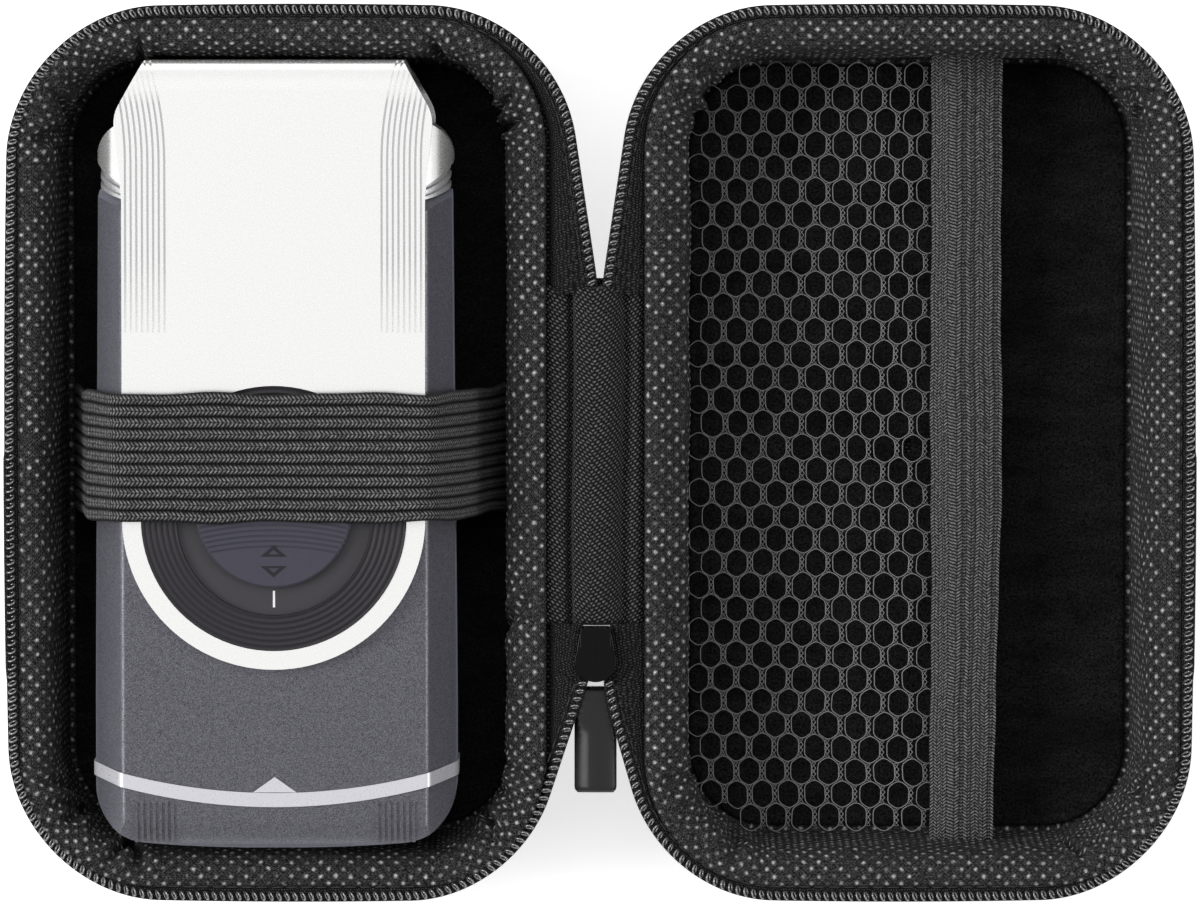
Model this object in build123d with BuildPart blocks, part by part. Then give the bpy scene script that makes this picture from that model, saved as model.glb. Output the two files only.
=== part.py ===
from build123d import *
import os
from math import hypot, radians, tan

os.makedirs("parts", exist_ok=True)

# A zipped hard case lies open and flat on its two backs, +Z up, with a foil shaver strapped into the
# left half. The origin is on the surface it lies on, below the middle of the hinge. The right half is
# the mirror image of the left one, and closes over it about a line just above the two rims.

# Gaps shared by all pieces, in millimetres: a hair between pieces that are glued, sewn or pressed
# together, and more between pieces that move or come apart. REACH is how far a selection looks around a
# corner, or a cut goes past a surface.
HAIR_GAP = 0.05
RUNNING_GAP = 0.3
REACH = 1.0

# Case sizes
SIDE_ROOM = 7.6
END_ROOM = 0.2
SHELL_HEIGHT = 24.0
SHELL_GAP = 14.4
SHELL_WALL = 3.0
SHELL_DRAFT = 6.0
SHELL_CORNER = 20.0
BACK_EDGE = 9.0
FLOOR_EDGE = 1.0

# Lining and floor panel
LINING = 0.6
LIP_HEIGHT = 1.2
LIP_SETBACK = 1.5
PANEL = 1.0
PANEL_MARGIN = 1.1

# Zip
HINGE_RISE = 4.5
HINGE_GAP = 0.15
ZIP_FLARE = 2.9
ZIP_END_FLARE = 3.0
ZIP_BOW = 1.2
SEAM_BOW = 0.2
ZIP_CORNER = 23.0
ZIP_WAIST = 40.0
TOP_LEAN = 0.15
BOTTOM_LEAN = 0.33
COIL_WIDTH = 1.7
COIL_HEIGHT = 1.45
COIL_END_GAP = 0.4
TAPE = 0.7
TAPE_SETBACK = 0.15
SPINE_LENGTH = 52.6
SPINE_FABRIC = 0.6
SPINE_CLEARANCE = 0.3
RIDGE_HALF_WIDTH = 2.9
RIDGE_SLOPE = 1.4
RIDGE_RADIUS = 1.2
RIDGE_FOOT_RISE = 0.5
OUTER_FOOT_DROP = 4.0
OUTER_CREST_DROP = 1.4

# Zip slider, at the lower end of the spine
SLIDER_X = -0.7
SLIDER_LENGTH = 8.6
SLIDER_WIDTH = 6.6
SLIDER_NECK = 4.9
SLIDER_PLATE = 0.9
PLATE_EDGE = 0.36
SLIDER_FLANGE = 0.55
FLANGE_FOOT = 2.67
SLIDER_CLEARANCE = 0.7
WEDGE_WIDTH = 1.8
WEDGE_LENGTH = 3.25
WEDGE_FOOT = 0.5
BRIDGE_DROP = 5.16
BRIDGE_WIDTH = 1.4
BRIDGE_LENGTH = 5.4
BRIDGE_HEIGHT = 2.3
BRIDGE_EYE = 1.3
LINK_WIRE = 0.8
LINK_EDGE = 0.24
LINK_PLAY = 0.2
LINK_WIDTH = 3.4
LINK_REACH = 5.6
LINK_PLATE = 2.2
TAB_WIDTH = 6.6
TAB_LENGTH = 16.6
TAB_THICKNESS = 2.0
TAB_CORNER = 0.9
TAB_EDGE = 0.5
TAB_GRIP = 1.2

# Retaining strap and net pocket
STRAP_WIDTH = 20.0
STRAP = 1.2
STRAP_INSET = 1.9
STRAP_BEND = 3.0
STRAP_EASE = 1.0
NET = 0.5
NET_RISE = 6.0
NET_FLAT = 2.5
POCKET_WIDTH = 39.4
BAND_WIDTH = 10.9
BAND = 1.1
NET_UNDER_BAND = 4.0

# Shaver body
SHAVER_OFFSET = -1.9
SHAVER_LENGTH = 122.8
BODY_WIDTH = 56.4
BODY_TAPER = 0.7
BODY_DEPTH = 26.8
TAPER_START = 21.4
FACE_BEVEL = 4.5
BEVEL_DROP = 6.5
BACK_CORNER = 8.0
SIDE_CORNER = 4.0
FACE_CORNER = 1.2
END_CORNER = 9.0
END_BOW = 2.0
HEEL = 8.0
TOE = 5.0
HOUSING_WALL = 2.0
HOUSING_SIDE = 6.0
PARTING = 14.2
PARTING_GAP = 0.05

# Battery cover and the trim band above it
COVER_SIDE = 13.8
COVER_WALL = 4.0
COVER_FLOOR = 4.2
COVER_RIB_COUNT = 7
COVER_RIB_PITCH = 0.95
COVER_RIB_START = 15.9
COVER_RIB_FOOT = 1.2
COVER_RIB_LENGTH = 6.4
TRIM_SAG = 4.8
TRIM_HEIGHT = 2.2
TRIM_PROUD = 0.3
POINTER_WIDTH = 6.8
POINTER_HEIGHT = 2.4

# Twist cap, dial and switch
CAP_PLATE = 2.1
CAP_BACK_PLATE = 1.9
CAP_WIDTH = 49.6
CAP_TOP_WIDTH = 40.2
CAP_SHOULDER_DROP = 8.4
CAP_WAIST_DROP = 21.4
CAP_SHOULDER_RADIUS = 6.0
CAP_WAIST_RADIUS = 20.0
CAP_FRONT_EDGE = 4.5
CAP_BACK_EDGE = 7.0
CAP_RIB_COUNT = 8
CAP_RIB_PITCH = 0.87
CAP_RIB_GROOVE = 0.34
CAP_RIB_DEPTH = 0.3
CAP_RIB_INNER = 16.8
CAP_RIB_LEAN = 2.4
CAP_RIB_BEND_DROP = 15.5
CAP_RIB_LENGTH = 42.0
DIAL_DROP = 70.9
CAP_RING = 23.5
DIAL_RING = 20.5
DIAL_FLAT = 15.1
DIAL_FIT = 0.1
DIAL_PROUD = 0.2
DIAL_GROOVES = 6
DIAL_GROOVE_DEPTH = 0.4
INDEX_THICKNESS = 1.6
SWITCH_RADIUS = 12.2
SWITCH_HEIGHT = 1.5
SWITCH_OFFSET = 1.5
SWITCH_TRAVEL = 3.0
SWITCH_RIDGES = 8
SWITCH_RIDGE_PITCH = 0.83
SWITCH_RIDGE_BOW = 51.0
SWITCH_RIDGE_START = 5.6
SWITCH_RIDGE_GROOVE = 0.3
STEM_SLOT = 6.0

# Head
HEAD_LENGTH = 20.2
BODY_ARCH = 3.1
COLLAR_HEIGHT = 4.8
HEAD_ARCH = 7.1
HEAD_WIDTH = 55.6
HEAD_CORNER = 9.0
HEAD_BACK_STEP = 2.6
HEAD_FRONT_STEP = 1.4
LOBE_HEIGHT = 5.0
LOBE_FOOT = 0.8
LOBE_INSET = 4.2
LOBE_BOW_INSET = 1.3
LOBE_BOW_RISE = 3.0
COLLAR_RIBS = 3
COLLAR_RIB_DEPTH = 0.5
COLLAR_RIB_START = 0.35
COLLAR_RIB_SHARE = 0.5
COLLAR_CLEARANCE = 0.03
FRAME_SHARE = 3.0
FOIL_LENGTH = 36.0
FOIL = 0.25
FOIL_FRAME = 1.8
CUTTER_GAP = 0.5
BLADES = 5
BLADE = 0.6

# Inside the shaver
CELL_RADIUS = 7.15
CELL_LENGTH = 49.2
CELL_NUB = 2.75
CELL_NUB_HEIGHT = 1.0
CELL_SPACING = 15.3
CONTACT = 0.4
MOTOR_RADIUS = 9.0
MOTOR_LENGTH = 25.0
MOTOR_FLAT = 14.4
SHAFT_RADIUS = 1.0
SHAFT_BORE = 2.4
PIN_REACH = 1.5
CUTTER_STROKE = 0.8
BOARD_WIDTH = 30.0
BOARD_LENGTH = 22.0
BOARD = 1.2

# Heights over the shaver's own back face
body_back = CAP_BACK_PLATE + RUNNING_GAP
body_front = body_back + BODY_DEPTH
body_middle = (body_back + body_front) / 2
body_side = body_front - BEVEL_DROP
cap_top = body_front + RUNNING_GAP + CAP_PLATE

# Heights and sizes of the case
lining_inset = SHELL_WALL + HAIR_GAP
inner_inset = lining_inset + LINING
panel_bottom = inner_inset
panel_top = panel_bottom + PANEL
shaver_z = panel_top + RUNNING_GAP
wall_lean = (SHELL_HEIGHT - panel_top) * tan(radians(SHELL_DRAFT))
shell_width = BODY_WIDTH + 2 * (SIDE_ROOM + wall_lean + inner_inset)
shell_length = SHAVER_LENGTH + 2 * (END_ROOM + wall_lean + inner_inset)
wall_foot = BODY_WIDTH / 2 + SIDE_ROOM
near_rim = SHELL_GAP / 2
far_rim = near_rim + shell_width
base_x = -(near_rim + far_rim) / 2
hinge_z = SHELL_HEIGHT + HINGE_RISE
coil_top = hinge_z - HINGE_GAP
coil_bottom = coil_top - COIL_HEIGHT
zip_far = far_rim + ZIP_FLARE
zip_half_length = shell_length / 2 + ZIP_END_FLARE
spine_end = SPINE_LENGTH / 2
slider_top = -spine_end - 2 * SPINE_CLEARANCE
slider_bottom = slider_top - SLIDER_LENGTH

# Places along the shaver
shaver_x = base_x + SHAVER_OFFSET
shaver_top = SHAVER_LENGTH / 2
shaver_bottom = -SHAVER_LENGTH / 2
body_crest = shaver_top - HEAD_LENGTH
body_edge = body_crest - BODY_ARCH
head_crest = body_crest + COLLAR_HEIGHT
head_edge = head_crest - HEAD_ARCH
trim_end = shaver_bottom + COVER_SIDE
dial_y = shaver_top - DIAL_DROP
switch_y = dial_y + SWITCH_OFFSET
cavity_top = body_edge - HOUSING_WALL


def save(part, name):
    """Label a finished piece and write it to its file."""
    part.label = name
    export_step(part, f"parts/{name}.step")


def shell_plan(inset, level):
    """Plan of a shell, inset from the rim's outer edge."""
    with BuildSketch(Plane((base_x, 0, level))) as plan:
        RectangleRounded(shell_width - 2 * inset, shell_length - 2 * inset, SHELL_CORNER - inset)
    return plan.sketch


def tub(inset, floor, edge):
    """Solid tub form below the rim, with the moulding draft and a bevelled floor edge."""
    depth = SHELL_HEIGHT - floor
    with BuildPart() as form:
        extrude(shell_plan(inset, SHELL_HEIGHT), amount=depth, dir=(0, 0, -1), taper=SHELL_DRAFT)
        chamfer(form.faces().sort_by(Axis.Z)[0].edges(), edge)
    return form.part


def outer_form():
    """The shell's outside: the tub's draft with a large round back edge."""
    with BuildPart() as form:
        extrude(shell_plan(0, SHELL_HEIGHT), amount=SHELL_HEIGHT, dir=(0, 0, -1), taper=SHELL_DRAFT)
        fillet(form.faces().sort_by(Axis.Z)[0].edges(), BACK_EDGE)
    return form.part


def zip_plan(near, far, half_length, corner, bow, leans, inset, level):
    """Plan of the zip line: straight beside the hinge, then leaning away from it to the end corners."""
    top_lean, bottom_lean = leans
    near_x = -(near + inset)
    far_x = -(far - inset)
    end_y = half_length - inset
    side_y = end_y - bow
    top_x = near_x - (side_y - spine_end) * top_lean
    bottom_x = near_x - (side_y - spine_end) * bottom_lean
    middle_x = (near_x + far_x) / 2
    with BuildSketch(Plane.XY.offset(level)) as plan:
        with BuildLine():
            ThreePointArc((far_x + bow, -side_y), (far_x, 0), (far_x + bow, side_y))
            ThreePointArc((far_x + bow, side_y), (middle_x, end_y), (top_x, side_y))
            Polyline((top_x, side_y), (near_x, spine_end), (near_x, -spine_end), (bottom_x, -side_y))
            ThreePointArc((bottom_x, -side_y), (middle_x, -end_y), (far_x + bow, -side_y))
        make_face()
        fillet(plan.vertices().filter_by(lambda v: abs(v.Y) > spine_end + REACH), corner - inset)
        fillet(plan.vertices().filter_by(lambda v: abs(abs(v.Y) - spine_end) < HAIR_GAP), ZIP_WAIST)
    return plan.sketch


def foot_plan(inset, level):
    """Plan of the seam that joins the zip tape to the rim."""
    half_length = shell_length / 2
    lean = SEAM_BOW / (half_length - spine_end)
    return zip_plan(near_rim, far_rim, half_length, SHELL_CORNER, SEAM_BOW, (lean, lean), inset, level)


def chain_plan(inset, level):
    """Plan of the coil's outer edge."""
    leans = (TOP_LEAN, BOTTOM_LEAN)
    return zip_plan(HINGE_GAP, zip_far, zip_half_length, ZIP_CORNER, ZIP_BOW, leans, inset, level)


def tape_form(foot_inset, chain_inset):
    """Solid between the seam on the rim and the underside of the coil."""
    seam = foot_plan(foot_inset, SHELL_HEIGHT)
    coil_seat = chain_plan(chain_inset, coil_bottom)
    with BuildPart() as form:
        loft([seam.face(), coil_seat.face()], ruled=True)
    return form.part


# The left half of the case: a moulded foam shell with its fabric skin bonded on
with BuildPart() as base_shell:
    add(outer_form())
    add(tub(SHELL_WALL, SHELL_WALL, FLOOR_EDGE), mode=Mode.SUBTRACT)
save(base_shell.part, "base_shell")

# Knit lining, glued into the shell and rolled over its rim as a soft lip
with BuildPart() as base_lining:
    add(tub(lining_inset, lining_inset, FLOOR_EDGE))
    extrude(shell_plan(LIP_SETBACK, SHELL_HEIGHT), amount=LIP_HEIGHT)
    add(tub(inner_inset, inner_inset, FLOOR_EDGE), mode=Mode.SUBTRACT)
    extrude(shell_plan(inner_inset, SHELL_HEIGHT), amount=LIP_HEIGHT, mode=Mode.SUBTRACT)
save(base_lining.part, "base_lining")


def floor_panel(top):
    """Flat panel that fits the lining's floor inside its rounded edge."""
    shrink = (SHELL_HEIGHT - panel_bottom) * tan(radians(SHELL_DRAFT))
    with BuildPart() as panel:
        extrude(shell_plan(inner_inset + shrink + PANEL_MARGIN, panel_bottom), amount=top - panel_bottom)
    return panel.part


with BuildPart() as base_floor_pad:
    add(floor_panel(panel_top))
save(base_floor_pad.part, "base_floor_pad")

# Zip tape, standing on the rim and flaring out to the coil; the spine and the slider take its place
# beside the hinge
slider_room_width = SLIDER_WIDTH - 2 * SLIDER_X + 4 * SLIDER_CLEARANCE
with BuildPart() as base_zip_tape:
    add(tape_form(TAPE_SETBACK, (COIL_WIDTH - TAPE) / 2))
    add(tape_form(TAPE_SETBACK + TAPE, (COIL_WIDTH + TAPE) / 2), mode=Mode.SUBTRACT)
    with BuildSketch(Plane.XY.offset(SHELL_HEIGHT)) as spine_room:
        Rectangle(2 * (near_rim + SEAM_BOW + 2 * TAPE), SPINE_LENGTH + 2 * SPINE_CLEARANCE)
    extrude(amount=2 * HINGE_RISE, mode=Mode.SUBTRACT)
    with BuildSketch(Plane.XY.offset(SHELL_HEIGHT)) as slider_room:
        with Locations((0, (slider_top + slider_bottom) / 2)):
            Rectangle(slider_room_width, SLIDER_LENGTH + 2 * SLIDER_CLEARANCE)
    extrude(amount=2 * HINGE_RISE, mode=Mode.SUBTRACT)
save(base_zip_tape.part, "base_zip_tape")

# The coil along the tape's edge, as the plain bead that its loops fill
with BuildPart() as base_zip_coil:
    extrude(chain_plan(0, coil_bottom), amount=COIL_HEIGHT)
    extrude(chain_plan(COIL_WIDTH, coil_bottom), amount=COIL_HEIGHT, mode=Mode.SUBTRACT)
    with BuildSketch(Plane.XY.offset(coil_bottom)) as coil_gap:
        with Locations((0, (spine_end + slider_bottom) / 2)):
            Rectangle(SHELL_GAP, spine_end - slider_bottom + 2 * COIL_END_GAP)
    extrude(amount=COIL_HEIGHT, mode=Mode.SUBTRACT)
save(base_zip_coil.part, "base_zip_coil")

# The right half mirrors the left one across the hinge
with BuildPart() as lid_shell:
    mirror(base_shell.part, about=Plane.YZ)
save(lid_shell.part, "lid_shell")

with BuildPart() as lid_lining:
    mirror(base_lining.part, about=Plane.YZ)
save(lid_lining.part, "lid_lining")

with BuildPart() as lid_floor_panel:
    mirror(base_floor_pad.part, about=Plane.YZ)
save(lid_floor_panel.part, "lid_floor_panel")

with BuildPart() as lid_zip_tape:
    mirror(base_zip_tape.part, about=Plane.YZ)
save(lid_zip_tape.part, "lid_zip_tape")

with BuildPart() as lid_zip_coil:
    mirror(base_zip_coil.part, about=Plane.YZ)
save(lid_zip_coil.part, "lid_zip_coil")


def ribbon(points, radius, thickness, width):
    """Strip of cloth across the case: a route in the XZ plane, given its thickness and its width in Y."""
    with BuildPart() as strip:
        with BuildLine(Plane.XZ) as route:
            FilletPolyline(*points, radius=radius)
        with BuildSketch(Plane(origin=route.line @ 0, x_dir=(0, 1, 0), z_dir=route.line % 0)):
            Rectangle(width, thickness)
        sweep()
    return strip.part


# Spine: the padded inner strip rises in a ridge between the halves, and the outer strip spans their walls
crest = coil_top - SPINE_FABRIC / 2
foot_z = SHELL_HEIGHT + SPINE_FABRIC / 2
inner_foot_x = near_rim + LIP_SETBACK - SPINE_CLEARANCE - 2 * HAIR_GAP
ridge_foot_x = RIDGE_HALF_WIDTH + RIDGE_SLOPE
inner_route = [
    (-inner_foot_x, foot_z),
    (-ridge_foot_x, foot_z + RIDGE_FOOT_RISE),
    (-RIDGE_HALF_WIDTH, crest),
    (RIDGE_HALF_WIDTH, crest),
    (ridge_foot_x, foot_z + RIDGE_FOOT_RISE),
    (inner_foot_x, foot_z),
]
with BuildPart() as spine_inner:
    add(ribbon(inner_route, RIDGE_RADIUS, SPINE_FABRIC, SPINE_LENGTH))
save(spine_inner.part, "spine_inner")

outer_foot = SHELL_HEIGHT - OUTER_FOOT_DROP
outer_crest = SHELL_HEIGHT - OUTER_CREST_DROP
outer_foot_x = near_rim + OUTER_FOOT_DROP * tan(radians(SHELL_DRAFT)) - SPINE_FABRIC / 2 - 2 * HAIR_GAP
outer_crest_x = near_rim - 2 * SPINE_FABRIC
outer_route = [
    (-outer_foot_x, outer_foot),
    (-outer_crest_x, outer_crest),
    (outer_crest_x, outer_crest),
    (outer_foot_x, outer_foot),
]
with BuildPart() as spine_outer:
    add(ribbon(outer_route, RIDGE_RADIUS, SPINE_FABRIC, SPINE_LENGTH))
save(spine_outer.part, "spine_outer")


# Zip slider: two shield plates, side flanges and a wedge leave the channel that the coils run in
def slider_outline(inset):
    """Shield outline of the slider's plates: a round foot that narrows to a straight neck."""
    with BuildSketch() as outline:
        with Locations((SLIDER_X, slider_bottom + SLIDER_WIDTH / 2)):
            Circle(SLIDER_WIDTH / 2 - inset)
        with Locations((SLIDER_X, slider_top - inset)):
            Rectangle(SLIDER_NECK - 2 * inset, SLIDER_PLATE, align=(Align.CENTER, Align.MAX))
        make_hull()
    return outline.sketch


plate_gap = COIL_HEIGHT + 2 * RUNNING_GAP
back_plate_z = coil_bottom + plate_gap - RUNNING_GAP
front_plate_z = back_plate_z - plate_gap - SLIDER_PLATE
pull_axis_y = slider_top - BRIDGE_DROP
pull_axis_z = front_plate_z - LINK_WIRE / 2 - LINK_PLAY
bridge_end = BRIDGE_LENGTH / 2
bridge_eye = bridge_end - BRIDGE_HEIGHT + BRIDGE_EYE
flange_foot = slider_bottom + FLANGE_FOOT
bridge_plane = Plane((SLIDER_X, pull_axis_y, front_plate_z), x_dir=(0, 1, 0), z_dir=(1, 0, 0))
with BuildPart() as zip_slider:
    with BuildSketch(Plane.XY.offset(back_plate_z)):
        add(slider_outline(0))
    extrude(amount=SLIDER_PLATE)
    fillet(zip_slider.faces().sort_by(Axis.Z)[-1].edges(), PLATE_EDGE)
    with BuildSketch(Plane.XY.offset(front_plate_z)):
        add(slider_outline(0))
    extrude(amount=SLIDER_PLATE)
    for z in (back_plate_z - SLIDER_FLANGE, front_plate_z + SLIDER_PLATE):
        with BuildSketch(Plane.XY.offset(z)) as flanges:
            add(slider_outline(0))
            add(slider_outline(SLIDER_FLANGE), mode=Mode.SUBTRACT)
            with Locations((SLIDER_X, flange_foot)):
                Rectangle(SLIDER_WIDTH, SLIDER_LENGTH, align=(Align.CENTER, Align.MAX), mode=Mode.SUBTRACT)
            with Locations((SLIDER_X, slider_top)):
                Rectangle(SLIDER_NECK - 2 * SLIDER_FLANGE, 4 * SLIDER_FLANGE, mode=Mode.SUBTRACT)
        extrude(amount=SLIDER_FLANGE)
    with BuildSketch(Plane((SLIDER_X, slider_bottom, front_plate_z + SLIDER_PLATE))) as wedge:
        with BuildLine():
            Polyline((-WEDGE_WIDTH / 2, WEDGE_FOOT), (0, WEDGE_LENGTH), (WEDGE_WIDTH / 2, WEDGE_FOOT))
            ThreePointArc((WEDGE_WIDTH / 2, WEDGE_FOOT), (0, WEDGE_FOOT / 3), (-WEDGE_WIDTH / 2, WEDGE_FOOT))
        make_face()
    extrude(amount=plate_gap)
    with BuildSketch(bridge_plane):
        with BuildLine():
            Line((-bridge_end, 0), (bridge_end, 0))
            ThreePointArc((bridge_end, 0), (0, -BRIDGE_HEIGHT), (-bridge_end, 0))
        make_face()
        with BuildLine():
            Line((-bridge_eye, 0), (bridge_eye, 0))
            ThreePointArc((bridge_eye, 0), (0, -BRIDGE_EYE), (-bridge_eye, 0))
        make_face(mode=Mode.SUBTRACT)
    extrude(amount=BRIDGE_WIDTH / 2, both=True)
save(zip_slider.part, "zip_slider")

# The pull link: a bent wire whose cross bar sits under the bridge, closed by a small plate
arm_x = (LINK_WIDTH - LINK_WIRE) / 2
with BuildPart() as pull_link:
    with BuildSketch(Plane((SLIDER_X, pull_axis_y, pull_axis_z))):
        with Locations((-arm_x, -LINK_REACH / 2), (arm_x, -LINK_REACH / 2)):
            Rectangle(LINK_WIRE, LINK_REACH)
        with Locations((0, 0)):
            Rectangle(LINK_WIDTH, LINK_WIRE)
        with Locations((0, -LINK_REACH)):
            Rectangle(LINK_WIDTH, LINK_PLATE, align=(Align.CENTER, Align.MIN))
    extrude(amount=LINK_WIRE / 2, both=True)
    fillet(pull_link.edges().filter_by(Axis.X), LINK_EDGE)
save(pull_link.part, "pull_link")

# The moulded tab on the end of the link
tab_top = pull_axis_y - LINK_REACH + TAB_GRIP
with BuildPart() as pull_tab:
    with BuildSketch(Plane((SLIDER_X, tab_top - TAB_LENGTH / 2, pull_axis_z - TAB_THICKNESS / 2))):
        RectangleRounded(TAB_WIDTH, TAB_LENGTH, TAB_CORNER)
    extrude(amount=TAB_THICKNESS)
    chamfer(pull_tab.faces().sort_by(Axis.Z)[-1].edges(), TAB_EDGE)
    chamfer(pull_tab.faces().sort_by(Axis.Z)[0].edges(), TAB_EDGE)
    with BuildSketch(Plane((SLIDER_X, tab_top - TAB_GRIP, pull_axis_z - LINK_WIRE / 2 - HAIR_GAP))):
        Rectangle(LINK_WIDTH + 2 * HAIR_GAP, 2 * TAB_GRIP + 2 * HAIR_GAP)
    extrude(amount=LINK_WIRE + 2 * HAIR_GAP, mode=Mode.SUBTRACT)
save(pull_tab.part, "pull_tab")


# Shaver planes: its plan seen from the front, its cross-section, and its side view
def front_plane(height):
    """Plane across the shaver's thickness, at a height over its back face."""
    return Plane((shaver_x, 0, shaver_z + height))


def section_plane(y):
    """Plane across the shaver's length, facing the bottom end."""
    return Plane(origin=(shaver_x, y, shaver_z), x_dir=(1, 0, 0), z_dir=(0, -1, 0))


def side_plane(x):
    """Plane along the shaver, seen from the hinge side."""
    return Plane(origin=(shaver_x + x, 0, shaver_z), x_dir=(0, 1, 0), z_dir=(1, 0, 0))


def body_form(grow):
    """The shaver body's full form, grown all round: cross-section, plan and side view intersected."""
    half = BODY_WIDTH / 2 + grow
    top_half = half - BODY_TAPER
    face = half - FACE_BEVEL
    back = body_back - grow
    front = body_front + grow
    low = shaver_bottom - grow
    taper_y = shaver_bottom + TAPER_START
    with BuildPart() as form:
        with BuildSketch(section_plane(body_crest)) as section:
            with BuildLine():
                Polyline(
                    (-half, back), (half, back), (half, body_side),
                    (face, front), (-face, front), (-half, body_side),
                    close=True,
                )
            make_face()
            fillet(section.vertices().group_by(Axis.Y)[0], BACK_CORNER)
            fillet(section.vertices().group_by(Axis.Y)[-1], FACE_CORNER)
            sides = section.vertices().filter_by_position(Axis.Y, body_side - REACH, body_side + REACH)
            fillet(sides, SIDE_CORNER)
        extrude(amount=body_crest - low)
        with BuildSketch(front_plane(0)) as plan:
            with BuildLine():
                Polyline((-half, low + END_BOW), (-half, taper_y), (-top_half, body_crest))
                Line((-top_half, body_crest), (top_half, body_crest))
                Polyline((top_half, body_crest), (half, taper_y), (half, low + END_BOW))
                ThreePointArc((half, low + END_BOW), (0, low), (-half, low + END_BOW))
            make_face()
            fillet(plan.vertices().group_by(Axis.Y)[0], END_CORNER)
        extrude(amount=2 * body_front, both=True, mode=Mode.INTERSECT)
        with BuildSketch(side_plane(0)) as side:
            with BuildLine():
                ThreePointArc((body_edge, back), (body_crest, body_middle), (body_edge, front))
                Polyline((body_edge, front), (low, front), (low, back), (body_edge, back))
            make_face()
            fillet(side.vertices().group_by(Axis.X)[0].sort_by(Axis.Y)[0], HEEL)
            fillet(side.vertices().group_by(Axis.X)[0].sort_by(Axis.Y)[-1], TOE)
        extrude(amount=BODY_WIDTH, both=True, mode=Mode.INTERSECT)
    return form.part


def trim_side(drop, end_y):
    """Block through the shaver on one side of the trim curve: the part of it towards an end."""
    reach = BODY_WIDTH
    end = trim_end - drop + TRIM_SAG * ((2 * reach / BODY_WIDTH) ** 2 - 1)
    with BuildPart() as block:
        with BuildSketch(front_plane(0)):
            with BuildLine():
                ThreePointArc((-reach, end), (0, trim_end - TRIM_SAG - drop), (reach, end))
                Polyline((reach, end), (reach, end_y), (-reach, end_y), (-reach, end))
            make_face()
        extrude(amount=cap_top)
    return block.part


def cavity(width, depth, top, bottom):
    """Round-cornered hollow inside the shaver, between two places along it."""
    with BuildPart() as hollow:
        with BuildSketch(section_plane(top)):
            with Locations((0, body_middle)):
                RectangleRounded(width, depth, CELL_RADIUS)
        extrude(amount=top - bottom)
    return hollow.part


shaver_body = body_form(0)
above_trim = trim_side(-HAIR_GAP, shaver_top)
room_width = BODY_WIDTH - 2 * HOUSING_SIDE
room_depth = BODY_DEPTH - 2 * HOUSING_WALL
cup_bottom = shaver_bottom + COVER_FLOOR
housing_room = cavity(room_width, room_depth, cavity_top, trim_end - TRIM_SAG - 2 * TRIM_HEIGHT)
cover_room = cavity(BODY_WIDTH - 4 * COVER_WALL, BODY_DEPTH - 2 * COVER_WALL, trim_end, cup_bottom)
foil_base = head_crest + LOBE_FOOT + LOBE_HEIGHT
head_back = body_back + HEAD_BACK_STEP
head_front = body_front - HEAD_FRONT_STEP
head_middle = (head_back + head_front) / 2
drive_end = foil_base + PIN_REACH

# The bore that the motor's shaft runs in, up to the cutter
with BuildPart() as shaft_way:
    with BuildSketch(section_plane(drive_end)):
        with Locations((0, head_middle)):
            Circle(SHAFT_BORE)
    extrude(amount=drive_end - cavity_top + REACH)

# The slot that the switch's stem slides in, through the index ring and the front housing
slot_length = STEM_SLOT + SWITCH_TRAVEL + 2 * RUNNING_GAP
with BuildPart() as stem_way:
    with BuildSketch(front_plane(body_front - 2 * HOUSING_WALL)):
        with Locations((0, switch_y - SWITCH_TRAVEL / 2)):
            SlotOverall(slot_length, STEM_SLOT, rotation=90)
    extrude(amount=4 * HOUSING_WALL)

# Front and rear housings meet on the parting plane, and are open below for the cells
with BuildPart() as front_housing:
    add(shaver_body)
    add(above_trim, mode=Mode.INTERSECT)
    add(housing_room, mode=Mode.SUBTRACT)
    add(shaft_way.part, mode=Mode.SUBTRACT)
    add(stem_way.part, mode=Mode.SUBTRACT)
    split(bisect_by=front_plane(PARTING), keep=Keep.TOP)
save(front_housing.part, "shaver_front_housing")

with BuildPart() as rear_housing:
    add(shaver_body)
    add(above_trim, mode=Mode.INTERSECT)
    add(housing_room, mode=Mode.SUBTRACT)
    add(shaft_way.part, mode=Mode.SUBTRACT)
    split(bisect_by=front_plane(PARTING - PARTING_GAP), keep=Keep.BOTTOM)
save(rear_housing.part, "shaver_rear_housing")

# Silver trim ring round the body, with a pointer on the front that the battery cover's marks meet
with BuildPart() as trim_band:
    add(body_form(TRIM_PROUD))
    add(trim_side(0, shaver_bottom - REACH), mode=Mode.INTERSECT)
    add(trim_side(TRIM_HEIGHT, shaver_top), mode=Mode.INTERSECT)
    add(housing_room, mode=Mode.SUBTRACT)
save(trim_band.part, "trim_band")

pointer_foot = trim_end - TRIM_SAG + 2 * HAIR_GAP
pointer_side = hypot(POINTER_WIDTH / 2, POINTER_HEIGHT)
with BuildPart() as trim_pointer:
    with BuildSketch(front_plane(body_front + HAIR_GAP)):
        with Locations((0, pointer_foot)):
            Triangle(a=POINTER_WIDTH, b=pointer_side, c=pointer_side, align=(Align.CENTER, Align.MIN))
    extrude(amount=TRIM_PROUD - HAIR_GAP)
save(trim_pointer.part, "trim_pointer")

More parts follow.
